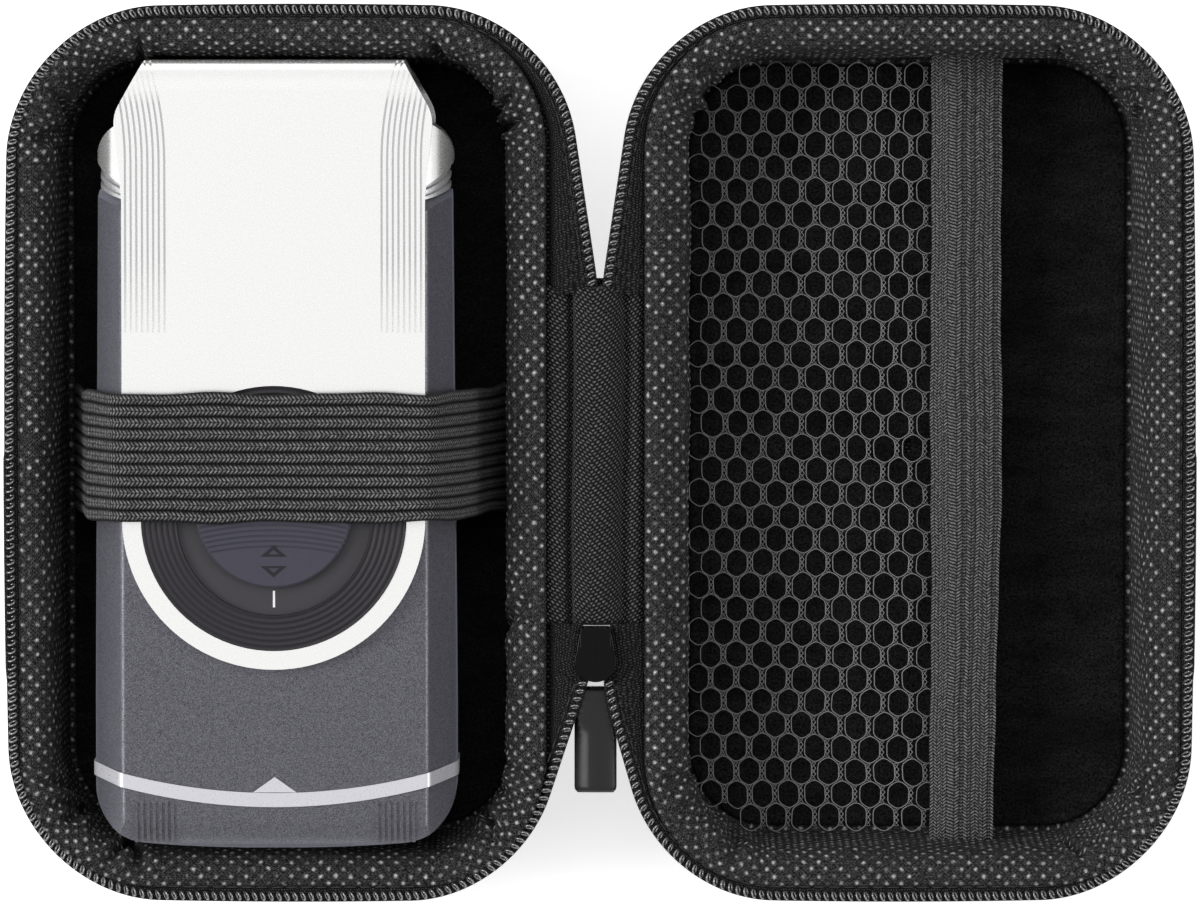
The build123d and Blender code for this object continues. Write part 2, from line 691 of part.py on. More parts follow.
# Battery cover: a twist-off cup under the trim ring, with a group of grip ribs on each side
cover_rib_y = shaver_bottom + COVER_RIB_FOOT
with BuildPart() as grip_ribs:
    add(body_form(TRIM_PROUD))
    with BuildSketch(front_plane(body_middle)):
        for index in range(COVER_RIB_COUNT):
            rib_x = COVER_RIB_START + index * COVER_RIB_PITCH
            with Locations((-rib_x, cover_rib_y), (rib_x, cover_rib_y)):
                Rectangle(COVER_RIB_PITCH / 2, COVER_RIB_LENGTH, align=(Align.CENTER, Align.MIN))
    extrude(amount=BODY_DEPTH, mode=Mode.INTERSECT)

with BuildPart() as battery_cover:
    add(shaver_body)
    add(trim_side(TRIM_HEIGHT + 2 * HAIR_GAP, shaver_bottom - REACH), mode=Mode.INTERSECT)
    add(cover_room, mode=Mode.SUBTRACT)
    add(grip_ribs.part)
save(battery_cover.part, "battery_cover")


# Twist cap: a silver plate on the front and on the back, joined over the head, with a round eye at the dial
def cap_plan():
    """Front outline of the cap: narrow top edge, shoulders, waist, and the ring round the dial."""
    shoulder = shaver_top - CAP_SHOULDER_DROP
    waist = shaver_top - CAP_WAIST_DROP
    with BuildSketch(front_plane(0)) as plan:
        with BuildLine():
            Polyline(
                (-CAP_RING, dial_y), (-CAP_RING, waist), (-CAP_WIDTH / 2, shoulder),
                (-CAP_TOP_WIDTH / 2, shaver_top), (CAP_TOP_WIDTH / 2, shaver_top),
                (CAP_WIDTH / 2, shoulder), (CAP_RING, waist), (CAP_RING, dial_y),
            )
            ThreePointArc((CAP_RING, dial_y), (0, dial_y - CAP_RING), (-CAP_RING, dial_y))
        make_face()
        shoulders = plan.vertices().filter_by_position(Axis.Y, shoulder - REACH, shoulder + REACH)
        fillet(shoulders, CAP_SHOULDER_RADIUS)
        waists = plan.vertices().filter_by_position(Axis.Y, waist - REACH, waist + REACH)
        fillet(waists, CAP_WAIST_RADIUS)
    return plan.sketch


def cap_side(top, back, front, back_edge, front_edge):
    """Side view of the cap, or of the room inside it: long, with both edges of its top end rounded."""
    foot = dial_y - 2 * CAP_RING
    with BuildSketch(side_plane(-CAP_WIDTH)) as side:
        with BuildLine():
            Polyline((foot, back), (top, back), (top, front), (foot, front), close=True)
        make_face()
        ends = side.vertices().group_by(Axis.X)[-1].sort_by(Axis.Y)
        fillet(ends[0], back_edge)
        ends = side.vertices().group_by(Axis.Y)[-1].sort_by(Axis.X)
        fillet(ends[-1], front_edge)
    return side.sketch


def cap_block(inset):
    """The cap's outer form, drawn in from its front and its top end by an inset."""
    with BuildPart() as block:
        extrude(cap_plan(), amount=cap_top)
        outline = cap_side(shaver_top - inset, 0, cap_top - inset, CAP_BACK_EDGE, CAP_FRONT_EDGE - inset)
        extrude(outline, amount=2 * CAP_WIDTH, mode=Mode.INTERSECT)
    return block.part


# The grooves between the cap's side ribs: they run up the edge and lean in to the narrow top
rib_bend = shaver_top - CAP_RIB_BEND_DROP
rib_foot = shaver_top - CAP_RIB_LENGTH
with BuildPart() as cap_grooves:
    for index in range(CAP_RIB_COUNT):
        groove_x = CAP_RIB_INNER + index * CAP_RIB_PITCH
        with BuildSketch(front_plane(cap_top - CAP_FRONT_EDGE)):
            with BuildLine():
                Line((groove_x, rib_foot), (groove_x, rib_bend))
                TangentArc((groove_x, rib_bend), (groove_x + CAP_RIB_LEAN, shaver_top), tangent=(0, 1))
            trace(line_width=CAP_RIB_GROOVE)
            mirror(about=Plane.YZ)
        extrude(amount=CAP_FRONT_EDGE)
    add(cap_block(CAP_RIB_DEPTH), mode=Mode.SUBTRACT)

cap_room_top = shaver_top - CAP_PLATE
cap_room_front = body_front + RUNNING_GAP
room_back_edge = CAP_BACK_EDGE - CAP_BACK_PLATE
room_front_edge = CAP_FRONT_EDGE - CAP_PLATE
with BuildPart() as twist_cap:
    add(cap_block(0))
    room = cap_side(cap_room_top, CAP_BACK_PLATE, cap_room_front, room_back_edge, room_front_edge)
    extrude(room, amount=2 * CAP_WIDTH, mode=Mode.SUBTRACT)
    with BuildSketch(front_plane(cap_room_front - RUNNING_GAP)):
        with Locations((0, dial_y)):
            Circle(DIAL_RING + DIAL_FIT)
    extrude(amount=2 * CAP_PLATE, mode=Mode.SUBTRACT)
    add(cap_grooves.part, mode=Mode.SUBTRACT)
save(twist_cap.part, "twist_cap")

# Grooved dial ring, the flat index ring inside it, and the round switch that slides over both
dial_base = body_front + HAIR_GAP
dial_top = cap_top + DIAL_PROUD
groove_floor = dial_top - DIAL_GROOVE_DEPTH
groove_pitch = (DIAL_RING - DIAL_FLAT) / DIAL_GROOVES
with BuildPart() as dial_ring:
    with BuildSketch(Plane(origin=(shaver_x, dial_y, shaver_z), x_dir=(1, 0, 0), z_dir=(0, -1, 0))):
        with BuildLine():
            Polyline((DIAL_FLAT, dial_top), (DIAL_FLAT, dial_base), (DIAL_RING, dial_base))
            Line((DIAL_RING, dial_base), (DIAL_RING, dial_top))
            for index in range(DIAL_GROOVES):
                outer = DIAL_RING - groove_pitch * index
                middle = outer - groove_pitch / 2
                Polyline((outer, dial_top), (middle, groove_floor), (outer - groove_pitch, dial_top))
        make_face()
    revolve(axis=Axis((shaver_x, dial_y, 0), (0, 0, 1)))
save(dial_ring.part, "dial_ring")

index_top = dial_base + INDEX_THICKNESS
with BuildPart() as index_ring:
    with BuildSketch(front_plane(dial_base)):
        with Locations((0, dial_y)):
            Circle(DIAL_FLAT - HAIR_GAP)
    extrude(amount=INDEX_THICKNESS)
    add(stem_way.part, mode=Mode.SUBTRACT)
save(index_ring.part, "index_ring")

switch_base = index_top + 2 * HAIR_GAP
switch_top = switch_base + SWITCH_HEIGHT
with BuildPart() as slide_switch:
    with BuildSketch(front_plane(switch_base)):
        with Locations((0, switch_y)):
            Circle(SWITCH_RADIUS)
    extrude(amount=SWITCH_HEIGHT)
    chamfer(slide_switch.faces().sort_by(Axis.Z)[-1].edges(), SWITCH_RIDGE_GROOVE)
    for index in range(SWITCH_RIDGES):
        bow_y = switch_y - SWITCH_RIDGE_START + index * SWITCH_RIDGE_PITCH - SWITCH_RIDGE_BOW
        with BuildSketch(front_plane(switch_top - SWITCH_RIDGE_GROOVE)):
            with Locations((0, bow_y)):
                Circle(SWITCH_RIDGE_BOW)
                Circle(SWITCH_RIDGE_BOW - SWITCH_RIDGE_GROOVE, mode=Mode.SUBTRACT)
        extrude(amount=SWITCH_RIDGE_GROOVE, mode=Mode.SUBTRACT)
save(slide_switch.part, "slide_switch")

board_top = body_front - HOUSING_WALL - RUNNING_GAP
with BuildPart() as switch_stem:
    with BuildSketch(front_plane(board_top + RUNNING_GAP)):
        with Locations((0, switch_y)):
            Circle(STEM_SLOT / 2 - RUNNING_GAP)
    extrude(amount=switch_base - board_top - RUNNING_GAP)
save(switch_stem.part, "switch_stem")


# Head: ribbed collar on the body, silver frame with side lobes, and the foil block under the cap
def head_slice(low, high, inset):
    """Slice of the head between two side-view arcs, each given as a share of the way from body to frame."""
    edges = [body_edge + share * (head_edge - body_edge) for share in (low, high)]
    crests = [body_crest + share * (head_crest - body_crest) for share in (low, high)]
    width = HEAD_WIDTH - 2 * inset
    depth = head_front - head_back - 2 * inset
    with BuildPart() as slice_form:
        with BuildSketch(section_plane(foil_base)):
            with Locations((0, head_middle)):
                RectangleRounded(width, depth, HEAD_CORNER - inset)
        extrude(amount=foil_base - body_edge + BODY_ARCH)
        with BuildSketch(side_plane(-HEAD_WIDTH)):
            with BuildLine():
                ThreePointArc((edges[0], body_back), (crests[0], body_middle), (edges[0], body_front))
                Line((edges[0], body_front), (edges[1], body_front))
                ThreePointArc((edges[1], body_front), (crests[1], body_middle), (edges[1], body_back))
                Line((edges[1], body_back), (edges[0], body_back))
            make_face()
        extrude(amount=2 * HEAD_WIDTH, mode=Mode.INTERSECT)
    return slice_form.part


with BuildPart() as head_collar:
    add(head_slice(COLLAR_CLEARANCE, 1 - COLLAR_CLEARANCE, 2 * COLLAR_RIB_DEPTH))
    for index in range(COLLAR_RIBS):
        low = (index + COLLAR_RIB_START) / COLLAR_RIBS
        add(head_slice(low, low + COLLAR_RIB_SHARE / COLLAR_RIBS, COLLAR_RIB_DEPTH))
    add(shaft_way.part, mode=Mode.SUBTRACT)
save(head_collar.part, "head_collar")

half_head = HEAD_WIDTH / 2
frame_low = head_edge - REACH
lobe_y = head_crest + LOBE_FOOT
lobe_top = foil_base - HAIR_GAP
lobe_end = half_head - LOBE_INSET
lobe_bow_x = half_head - LOBE_BOW_INSET
lobe_bow_y = lobe_y + LOBE_BOW_RISE
with BuildPart() as head_frame:
    add(head_slice(1, FRAME_SHARE, 0))
    with BuildSketch(front_plane(0)):
        with BuildLine():
            Polyline((-half_head, lobe_y), (-half_head, frame_low), (half_head, frame_low))
            Line((half_head, frame_low), (half_head, lobe_y))
            ThreePointArc((half_head, lobe_y), (lobe_bow_x, lobe_bow_y), (lobe_end, lobe_top))
            Line((lobe_end, lobe_top), (-lobe_end, lobe_top))
            ThreePointArc((-lobe_end, lobe_top), (-lobe_bow_x, lobe_bow_y), (-half_head, lobe_y))
        make_face()
    extrude(amount=body_front, mode=Mode.INTERSECT)
    add(shaft_way.part, mode=Mode.SUBTRACT)
save(head_frame.part, "head_frame")

foil_radius = cap_room_top - foil_base - CUTTER_GAP
with BuildPart() as foil_frame:
    with BuildSketch(section_plane(foil_base + FOIL_FRAME)):
        with Locations((0, head_middle)):
            Rectangle(FOIL_LENGTH + 2 * FOIL_FRAME, 2 * (foil_radius + FOIL_FRAME))
            Rectangle(FOIL_LENGTH + 2 * HAIR_GAP, 2 * (foil_radius + HAIR_GAP), mode=Mode.SUBTRACT)
    extrude(amount=FOIL_FRAME)
save(foil_frame.part, "foil_frame")


def foil_plane(x):
    """Plane across the foil's length, centred on its axis."""
    return Plane(origin=(shaver_x + x, foil_base, shaver_z + head_middle), x_dir=(0, 1, 0), z_dir=(1, 0, 0))


with BuildPart() as shaving_foil:
    with BuildSketch(foil_plane(-FOIL_LENGTH / 2)):
        Circle(foil_radius)
        Circle(foil_radius - FOIL, mode=Mode.SUBTRACT)
        Rectangle(foil_radius, 2 * foil_radius, align=(Align.MAX, Align.CENTER), mode=Mode.SUBTRACT)
    extrude(amount=FOIL_LENGTH)
save(shaving_foil.part, "shaving_foil")

# Cutter block: blades on a bar, with a slot for the shaft's eccentric pin
block_length = FOIL_LENGTH - 2 * CUTTER_STROKE - 2 * BLADE
blade_pitch = (block_length - BLADE) / (BLADES - 1)
pin_slot = 2 * (SHAFT_RADIUS + CUTTER_STROKE + RUNNING_GAP)
with BuildPart() as cutter_block:
    with BuildSketch(foil_plane(-block_length / 2)):
        Rectangle(foil_radius / 2, foil_radius, align=(Align.MIN, Align.CENTER))
    extrude(amount=block_length)
    for index in range(BLADES):
        with BuildSketch(foil_plane(index * blade_pitch - block_length / 2)):
            Circle(foil_radius - CUTTER_GAP)
            Rectangle(foil_radius, 2 * foil_radius, align=(Align.MAX, Align.CENTER), mode=Mode.SUBTRACT)
        extrude(amount=BLADE)
    with BuildSketch(section_plane(drive_end + RUNNING_GAP)):
        with Locations((0, head_middle)):
            Rectangle(pin_slot, 2 * foil_radius)
    extrude(amount=2 * FOIL_FRAME, mode=Mode.SUBTRACT)
save(cutter_block.part, "cutter_block")

# Inside the housings: two cells, their contacts, the motor with its shaft, and the circuit board
cell_x = CELL_SPACING / 2
cell_bottom = cup_bottom + CONTACT + 4 * HAIR_GAP
cell_top = cell_bottom + CELL_LENGTH
nub_top = cell_top + CELL_NUB_HEIGHT
with BuildPart() as battery_cells:
    with BuildSketch(section_plane(cell_top)):
        with Locations((-cell_x, body_middle), (cell_x, body_middle)):
            Circle(CELL_RADIUS)
    extrude(amount=CELL_LENGTH)
    with BuildSketch(section_plane(nub_top)):
        with Locations((-cell_x, body_middle), (cell_x, body_middle)):
            Circle(CELL_NUB)
    extrude(amount=nub_top - cell_top)
save(battery_cells.part, "battery_cells")

with BuildPart() as cell_contacts:
    with BuildSketch(section_plane(cup_bottom + CONTACT + HAIR_GAP)):
        with Locations((0, body_middle)):
            Rectangle(2 * (cell_x + CELL_NUB), 2 * CELL_NUB)
    extrude(amount=CONTACT)
    with BuildSketch(section_plane(nub_top + RUNNING_GAP + CONTACT)):
        with Locations((-cell_x, body_middle), (cell_x, body_middle)):
            Rectangle(3 * CELL_NUB, 3 * CELL_NUB)
    extrude(amount=CONTACT)
save(cell_contacts.part, "cell_contacts")

motor_top = cavity_top - RUNNING_GAP
with BuildPart() as drive_motor:
    with BuildSketch(section_plane(motor_top)):
        with Locations((0, head_middle)):
            Circle(MOTOR_RADIUS)
            Rectangle(2 * MOTOR_RADIUS, MOTOR_FLAT, mode=Mode.INTERSECT)
    extrude(amount=MOTOR_LENGTH)
    with BuildSketch(section_plane(drive_end)):
        with Locations((0, head_middle)):
            Circle(SHAFT_RADIUS)
    extrude(amount=drive_end - motor_top)
save(drive_motor.part, "drive_motor")

with BuildPart() as circuit_board:
    with BuildSketch(front_plane(board_top - BOARD)):
        with Locations((0, switch_y + SWITCH_TRAVEL)):
            Rectangle(BOARD_WIDTH, BOARD_LENGTH)
    extrude(amount=BOARD)
save(circuit_board.part, "circuit_board")

# Elastic strap over the shaver, sewn down beside it
strap_under = shaver_z + max(dial_top, switch_top) + RUNNING_GAP
strap_mid = strap_under + STRAP / 2
strap_foot = panel_top + RUNNING_GAP
strap_edge = BODY_WIDTH / 2 + STRAP + RUNNING_GAP
strap_crown = max(CAP_RING + STRAP, BODY_WIDTH / 2 - FACE_BEVEL + STRAP_EASE)
strap_route = [
    (base_x - wall_foot + STRAP_INSET, strap_foot),
    (shaver_x - strap_edge, shaver_z + body_side),
    (shaver_x - strap_crown, strap_mid),
    (shaver_x + strap_crown, strap_mid),
    (shaver_x + strap_edge, shaver_z + body_side),
    (base_x + wall_foot - STRAP_INSET, strap_foot),
]
with BuildPart() as retaining_strap:
    add(ribbon(strap_route, STRAP_BEND, STRAP, STRAP_WIDTH))
save(retaining_strap.part, "retaining_strap")

# Net pocket over the hinge side of the lid, gathered into an elastic band at its mouth
net_start = -base_x - wall_foot
band_start = net_start + POCKET_WIDTH
net_end = band_start + NET_UNDER_BAND
net_top = panel_top + NET_RISE
net_foot = panel_top + RUNNING_GAP
with BuildPart() as pocket_net:
    with BuildSketch(Plane.XZ):
        with BuildLine():
            Polyline(
                (net_start, net_foot), (band_start - NET_FLAT, net_top - NET), (net_end, net_top - NET),
                (net_end, net_top), (band_start - NET_FLAT, net_top), (net_start, net_foot + NET), close=True,
            )
        make_face()
    extrude(amount=shell_length / 2, both=True)
    mirror(tub(inner_inset + RUNNING_GAP, panel_bottom, FLOOR_EDGE), about=Plane.YZ, mode=Mode.INTERSECT)
save(pocket_net.part, "pocket_net")

with BuildPart() as pocket_band:
    with BuildSketch(Plane((band_start + BAND_WIDTH / 2, 0, net_top + HAIR_GAP))):
        Rectangle(BAND_WIDTH, shell_length)
    extrude(amount=BAND)
    mirror(tub(inner_inset + RUNNING_GAP, panel_bottom, FLOOR_EDGE), about=Plane.YZ, mode=Mode.INTERSECT)
save(pocket_band.part, "pocket_band")
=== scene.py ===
# %% [markdown]
# A zipped hard case lies open and flat. Its left half carries a foil shaver under an elastic strap, and
# its right half has a net pocket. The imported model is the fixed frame, in metres, and each soft piece and
# finish is made around it. Everything below works from that frame, so no piece is fitted by eye.

# %% Load the frame
from math import cos, pi, radians, sin, sqrt

import bmesh
import bpy
import numpy as np
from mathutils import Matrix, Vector


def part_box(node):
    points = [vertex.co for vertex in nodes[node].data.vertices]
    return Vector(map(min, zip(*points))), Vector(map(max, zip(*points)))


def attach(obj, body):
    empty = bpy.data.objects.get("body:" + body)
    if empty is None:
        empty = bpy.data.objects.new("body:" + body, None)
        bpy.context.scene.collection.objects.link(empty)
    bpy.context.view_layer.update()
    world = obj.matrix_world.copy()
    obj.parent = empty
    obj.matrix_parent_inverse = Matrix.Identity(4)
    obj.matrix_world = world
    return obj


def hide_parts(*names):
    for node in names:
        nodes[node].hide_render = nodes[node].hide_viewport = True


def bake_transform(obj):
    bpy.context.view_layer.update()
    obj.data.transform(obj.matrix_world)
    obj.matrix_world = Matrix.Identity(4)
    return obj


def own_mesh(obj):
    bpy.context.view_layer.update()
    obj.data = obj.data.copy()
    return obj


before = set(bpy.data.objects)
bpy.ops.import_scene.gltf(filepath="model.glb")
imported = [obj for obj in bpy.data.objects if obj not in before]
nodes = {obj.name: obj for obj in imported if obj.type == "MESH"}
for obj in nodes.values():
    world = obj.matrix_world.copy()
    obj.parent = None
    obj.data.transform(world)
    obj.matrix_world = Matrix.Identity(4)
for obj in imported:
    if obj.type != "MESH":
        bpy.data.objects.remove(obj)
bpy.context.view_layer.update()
MM = 0.001


def in_scene(name, data):
    """New object in the scene for a mesh, a curve, a light or a camera."""
    item = bpy.data.objects.new(name, data)
    bpy.context.scene.collection.objects.link(item)
    return item


def box_mm(name):
    """Low and high corners of a node's box, in millimetres."""
    return [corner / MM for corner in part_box(name)]


# %% [markdown]
# The camera looks almost straight down through a long lens, so the walls show only a little. It stands
# slightly towards the top of the picture, because more of the lower inner wall shows than of the upper
# one. Aiming it at a point between the two rims, at their height, keeps the picture's frame.

# %% Camera
PICTURE_WIDTH_MM = 187.2
CAMERA_DISTANCE_MM = 1400
CAMERA_TILT = radians(3.3)
SENSOR_MM = 36
PICTURE_CENTRE_DROP_MM = 0.86
RIM_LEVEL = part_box("base_zip_coil")[0].z

camera_data = bpy.data.cameras.new("camera")
camera_data.sensor_width = SENSOR_MM
camera_data.lens = SENSOR_MM * CAMERA_DISTANCE_MM / PICTURE_WIDTH_MM
camera = in_scene("camera", camera_data)
aim = Vector((0, -PICTURE_CENTRE_DROP_MM * MM, RIM_LEVEL))
back_off = Vector((0, sin(CAMERA_TILT), cos(CAMERA_TILT))) * CAMERA_DISTANCE_MM * MM
camera.location = aim + back_off
camera.rotation_euler = (-CAMERA_TILT, 0, 0)
bpy.context.scene.camera = camera
print("lens", round(camera_data.lens), "mm")

# %% [markdown]
# Node trees are easier to read as a few lines of arithmetic than as hundreds of links. These helpers add
# any node with its inputs, and start a node group. Each output comes back as a value that plain
# arithmetic works on, one Math node for each sign.


# %% Helpers for node trees
class Value:
    """Output of a node. Arithmetic on it adds Math nodes to its tree."""

    def __init__(self, socket):
        self.socket, self.tree = socket, socket.id_data

    def output(self, name):
        """Another output of the same node."""
        return Value(self.socket.node.outputs[name])

    def __add__(self, other):
        return maths("ADD", self, other)

    def __sub__(self, other):
        return maths("SUBTRACT", self, other)

    def __rsub__(self, other):
        return maths("SUBTRACT", other, self)

    def __mul__(self, other):
        return maths("MULTIPLY", self, other)

    def __truediv__(self, other):
        return maths("DIVIDE", self, other)

    def __pow__(self, other):
        return maths("POWER", self, other)

    def __abs__(self):
        return maths("ABSOLUTE", self)


def feed(socket, value):
    """Links a node's output to a socket, or sets the socket's own value."""
    if isinstance(value, Value):
        socket.id_data.links.new(value.socket, socket)
    else:
        socket.default_value = value


def add_node(tree, kind, inputs=None, output=0, **settings):
    """Output of a new node, with its settings and with its inputs given by name or by number."""
    node = tree.nodes.new(kind)
    for name, value in settings.items():
        setattr(node, name, value)
    for name, value in (inputs or {}).items():
        feed(node.inputs[name], value)
    return Value(node.outputs[output])


def combine(kind, values, **settings):
    """Output of a node fed with values in order, in the tree of those that are outputs."""
    tree = next(value.tree for value in values if isinstance(value, Value))
    return add_node(tree, kind, dict(enumerate(values)), **settings)


def maths(operation, *values, clamp=False):
    """Output of a Math node."""
    return combine("ShaderNodeMath", values, operation=operation, use_clamp=clamp)


def vector_maths(operation, *values):
    """Output of a Vector Math node."""
    return combine("ShaderNodeVectorMath", values, operation=operation)


def vector_of(*values):
    """Vector made of three values."""
    return combine("ShaderNodeCombineXYZ", values)


def xyz(vector):
    """The three values in a vector."""
    split = combine("ShaderNodeSeparateXYZ", [vector])
    return [split.output(axis) for axis in "XYZ"]


def ramp(value, length_mm):
    """0 to 1 over a length."""
    return maths("DIVIDE", value, length_mm * MM, clamp=True)


def jitter(at, scale, reach):
    """Small push in any direction, from a fine noise: half of reach each way at most."""
    drift = {"Vector": at, "Scale": scale, "Detail": 1.0}
    noise = add_node(at.tree, "ShaderNodeTexNoise", drift, "Color")
    push = {"Vector": vector_maths("SUBTRACT", noise, (0.5, 0.5, 0.5)), "Scale": reach}
    return add_node(at.tree, "ShaderNodeVectorMath", push, operation="SCALE")


def floats(*names):
    """Plain values among the inputs of a group."""
    return dict.fromkeys(names, "Float")


def new_group(name, kind, inputs, result, result_kind):
    """New node group with named inputs and one named result, with its inputs as values and its output."""
    group = bpy.data.node_groups.new(name, kind)
    for label, socket in inputs.items():
        group.interface.new_socket(label, in_out="INPUT", socket_type="NodeSocket" + socket)
    group.interface.new_socket(result, in_out="OUTPUT", socket_type="NodeSocket" + result_kind)
    given = {item.name: Value(item) for item in group.nodes.new("NodeGroupInput").outputs if item.name}
    return group, given, group.nodes.new("NodeGroupOutput").inputs[0]


# %% [markdown]
# Four surface patterns serve most of the finishes. Woven nylon shows short bright floats of yarn in
# staggered rows, webbing is columns of slanted stitches that lean left and right in turn, the lining has
# shiny dots in a staggered lattice, and every finish needs a fine mottle. A fifth group wraps a cloth
# round a solid that has no UV map, by the side that each point faces. Each is one group, built once.


# %% Shared pattern groups
WEAVE_SHARPNESS = 2.5
SIDE_FROM_NORMAL = 0.7


def hump(value):
    """Half a wave in each whole step, 0 at both ends."""
    return maths("SINE", maths("FRACT", value) * pi)


def odd(value):
    """1 in every second whole step, and 0 in the others."""
    return abs(maths("MODULO", maths("FLOOR", value), 2))


def wave(value):
    """Full wave from 0 to 1 in each whole step, highest at its ends."""
    return maths("COSINE", value * (2 * pi)) * 0.5 + 0.5


def woven(given):
    """Floats in staggered rows, that lean away from a crest, and are dark between them."""
    x, y, _ = xyz(given["Vector"])
    along = (y - abs(x - given["Crest"]) * given["Lean"]) / given["Row"]
    across = x / given["Float"] + odd(along) * 0.5
    return (hump(across) * hump(along)) ** WEAVE_SHARPNESS


def knitted(given):
    """Elastic webbing: columns of stitches that lean to either side in turn."""
    x, y, _ = xyz(given["Vector"])
    across = y / given["Column"]
    slant = maths("FRACT", across) * (odd(across) * 2 - 1)
    stitch = maths("SINE", (x / given["Stitch"] + slant) * (2 * pi)) * 0.5 + 0.5
    return stitch * hump(across) ** 0.5


def dotted(given):
    """Staggered lattice of round spots, one at each raised point of a dimpled cloth."""
    x, y, _ = xyz(given["Vector"])
    return (wave((x + y) / given["Pitch"]) * wave((x - y) / given["Pitch"])) ** given["Sharpness"]


def mottled(given):
    """Fine uneven tone: a noise stretched to run from 0 to 1."""
    noise = add_node(given["Vector"].tree, "ShaderNodeTexNoise", {**given, "Roughness": 0.6})
    return maths("MULTIPLY_ADD", noise, 2.2, -0.6, clamp=True)


def wrapped(given):
    """Place on a cloth wrapped round a solid, from the side that each point of it faces."""
    x, y, z = xyz(given["Vector"])
    to_x, to_y, to_z = xyz(vector_maths("ABSOLUTE", given["Normal"]))
    upright = maths("LESS_THAN", to_z, SIDE_FROM_NORMAL)
    sideways = upright * maths("GREATER_THAN", to_x, to_y)
    return vector_of((y - x) * sideways + x, (z - y) * upright + y)


def pattern(name, make, result, values=(), vectors=("Vector",), result_kind="Float"):
    """Shader group that works out one result from its inputs."""
    inputs = {**dict.fromkeys(vectors, "Vector"), **floats(*values)}
    group, given, out = new_group(name, "ShaderNodeTree", inputs, result, result_kind)
    feed(out, make(given))
    return group


WEAVE = pattern("woven_floats", woven, "Height", ("Float", "Row", "Crest", "Lean"))
WEBBING = pattern("webbing_knit", knitted, "Height", ("Stitch", "Column"))
DOTS = pattern("lattice_dots", dotted, "Dot", ("Pitch", "Sharpness"))
MOTTLE = pattern("mottle", mottled, "Value", ("Scale", "Detail"))
WRAPPED = pattern("wrapped_cloth", wrapped, "Place", (), ("Vector", "Normal"), "Vector")
print("pattern groups", [group.name for group in (WEAVE, WEBBING, DOTS, MOTTLE, WRAPPED)])


# %% [markdown]
# A finish is a Principled shader whose colour, roughness and bump all come from the same few patterns.
# The sample colours are written in the usual 0 to 255 scale and turned to linear light here, which is
# what a shader expects.


# %% Helpers for materials
def linear(*levels):
    """Shader colour from display levels of 0 to 255."""
    shares = [level / 255 for level in (levels * 3 if len(levels) == 1 else levels)]
    return tuple(s / 12.92 if s <= 0.04045 else ((s + 0.055) / 1.055) ** 2.4 for s in shares) + (1.0,)


def sockets_of(material):
    """Input sockets of a material's Principled shader."""
    return material.node_tree.nodes["Principled BSDF"].inputs


def new_material(name, **values):
    """Material with one Principled shader, whose plain values are set by name, and its node tree."""
    material = bpy.data.materials.new(name)
    material.use_nodes = True
    for label, value in values.items():
        sockets_of(material)[label.replace("_", " ")].default_value = value
    return material, material.node_tree


def place(tree, source="Object"):
    """Coordinates of the surface: the piece's own space, or its UV map in metres."""
    return add_node(tree, "ShaderNodeTexCoord", output=source)


def use_group(tree, group, **inputs):
    """Result of a pattern group placed in a material."""
    return add_node(tree, "ShaderNodeGroup", inputs, node_tree=group)


def mottle(tree, scale, detail=3.0, at=None):
    """Fine uneven tone on the piece itself, or at other coordinates."""
    return use_group(tree, MOTTLE, Vector=at or place(tree), Scale=scale, Detail=detail)


def shade(factor, dark, light):
    """Colour that runs from dark to light with a factor."""
    inputs = {"Factor": factor, 6: dark, 7: light}
    return add_node(factor.tree, "ShaderNodeMix", inputs, 2, data_type="RGBA")


def darker(colour, share):
    """The same colour with a share of its light."""
    return tuple(share * level for level in colour[:3]) + (1.0,)


def finish(material, colour, roughness=None, height=None, relief_mm=0.0):
    """Feeds a material's shader with its patterns, the height as relief, and returns the material."""
    sockets = sockets_of(material)
    feed(sockets["Base Color"], colour)
    if roughness is not None:
        feed(sockets["Roughness"], roughness)
    if height is not None:
        relief = {"Height": height, "Distance": relief_mm * MM, "Strength": 1.0}
        feed(sockets["Normal"], add_node(material.node_tree, "ShaderNodeBump", relief))
    return material


# %% [markdown]
# The case's cloths come first. Woven nylon covers the spine and the outside, a knit with shiny dots and a
# painted highlight on each dot lines the walls, velour covers the floors, and the strap and the pocket's
# edge are elastic webbing.


# %% Cloth materials
DIMPLE_PITCH_MM = 2.35
DOT_JITTER_MM = 0.62
SEAM_SHADE_MM = 0.45
WEAVE_RELIEF_MM = 0.12
KNIT_RELIEF_MM = 0.12
PILE_RELIEF_MM = 0.15
WEBBING_RELIEF_MM = 0.14
SPINE_CREST_MM = 11.5


def woven_material(name, float_mm, row_mm, dark, light, loose_mm, wrap=False, crest_mm=0.0, lean=0.0):
    """Nylon cloth: bright floats in staggered rows on dark yarn, pushed about by up to loose_mm."""
    material, tree = new_material(name, Roughness=0.7, Specular_IOR_Level=0.08, Sheen_Weight=0.04)
    surface = place(tree, "UV")
    if wrap:
        surface = use_group(tree, WRAPPED, Vector=place(tree), Normal=place(tree, "Normal"))
    yarn = use_group(
        tree, WEAVE, Vector=vector_maths("ADD", surface, jitter(place(tree), 1100.0, loose_mm * MM)),
        Float=float_mm * MM, Row=row_mm * MM, Crest=crest_mm * MM, Lean=lean,
    )
    tone = maths("MULTIPLY", yarn, mottle(tree, 2600.0) * 1.3 + 0.25, clamp=True)
    return finish(material, shade(tone, linear(dark), linear(light)), None, yarn, WEAVE_RELIEF_MM)


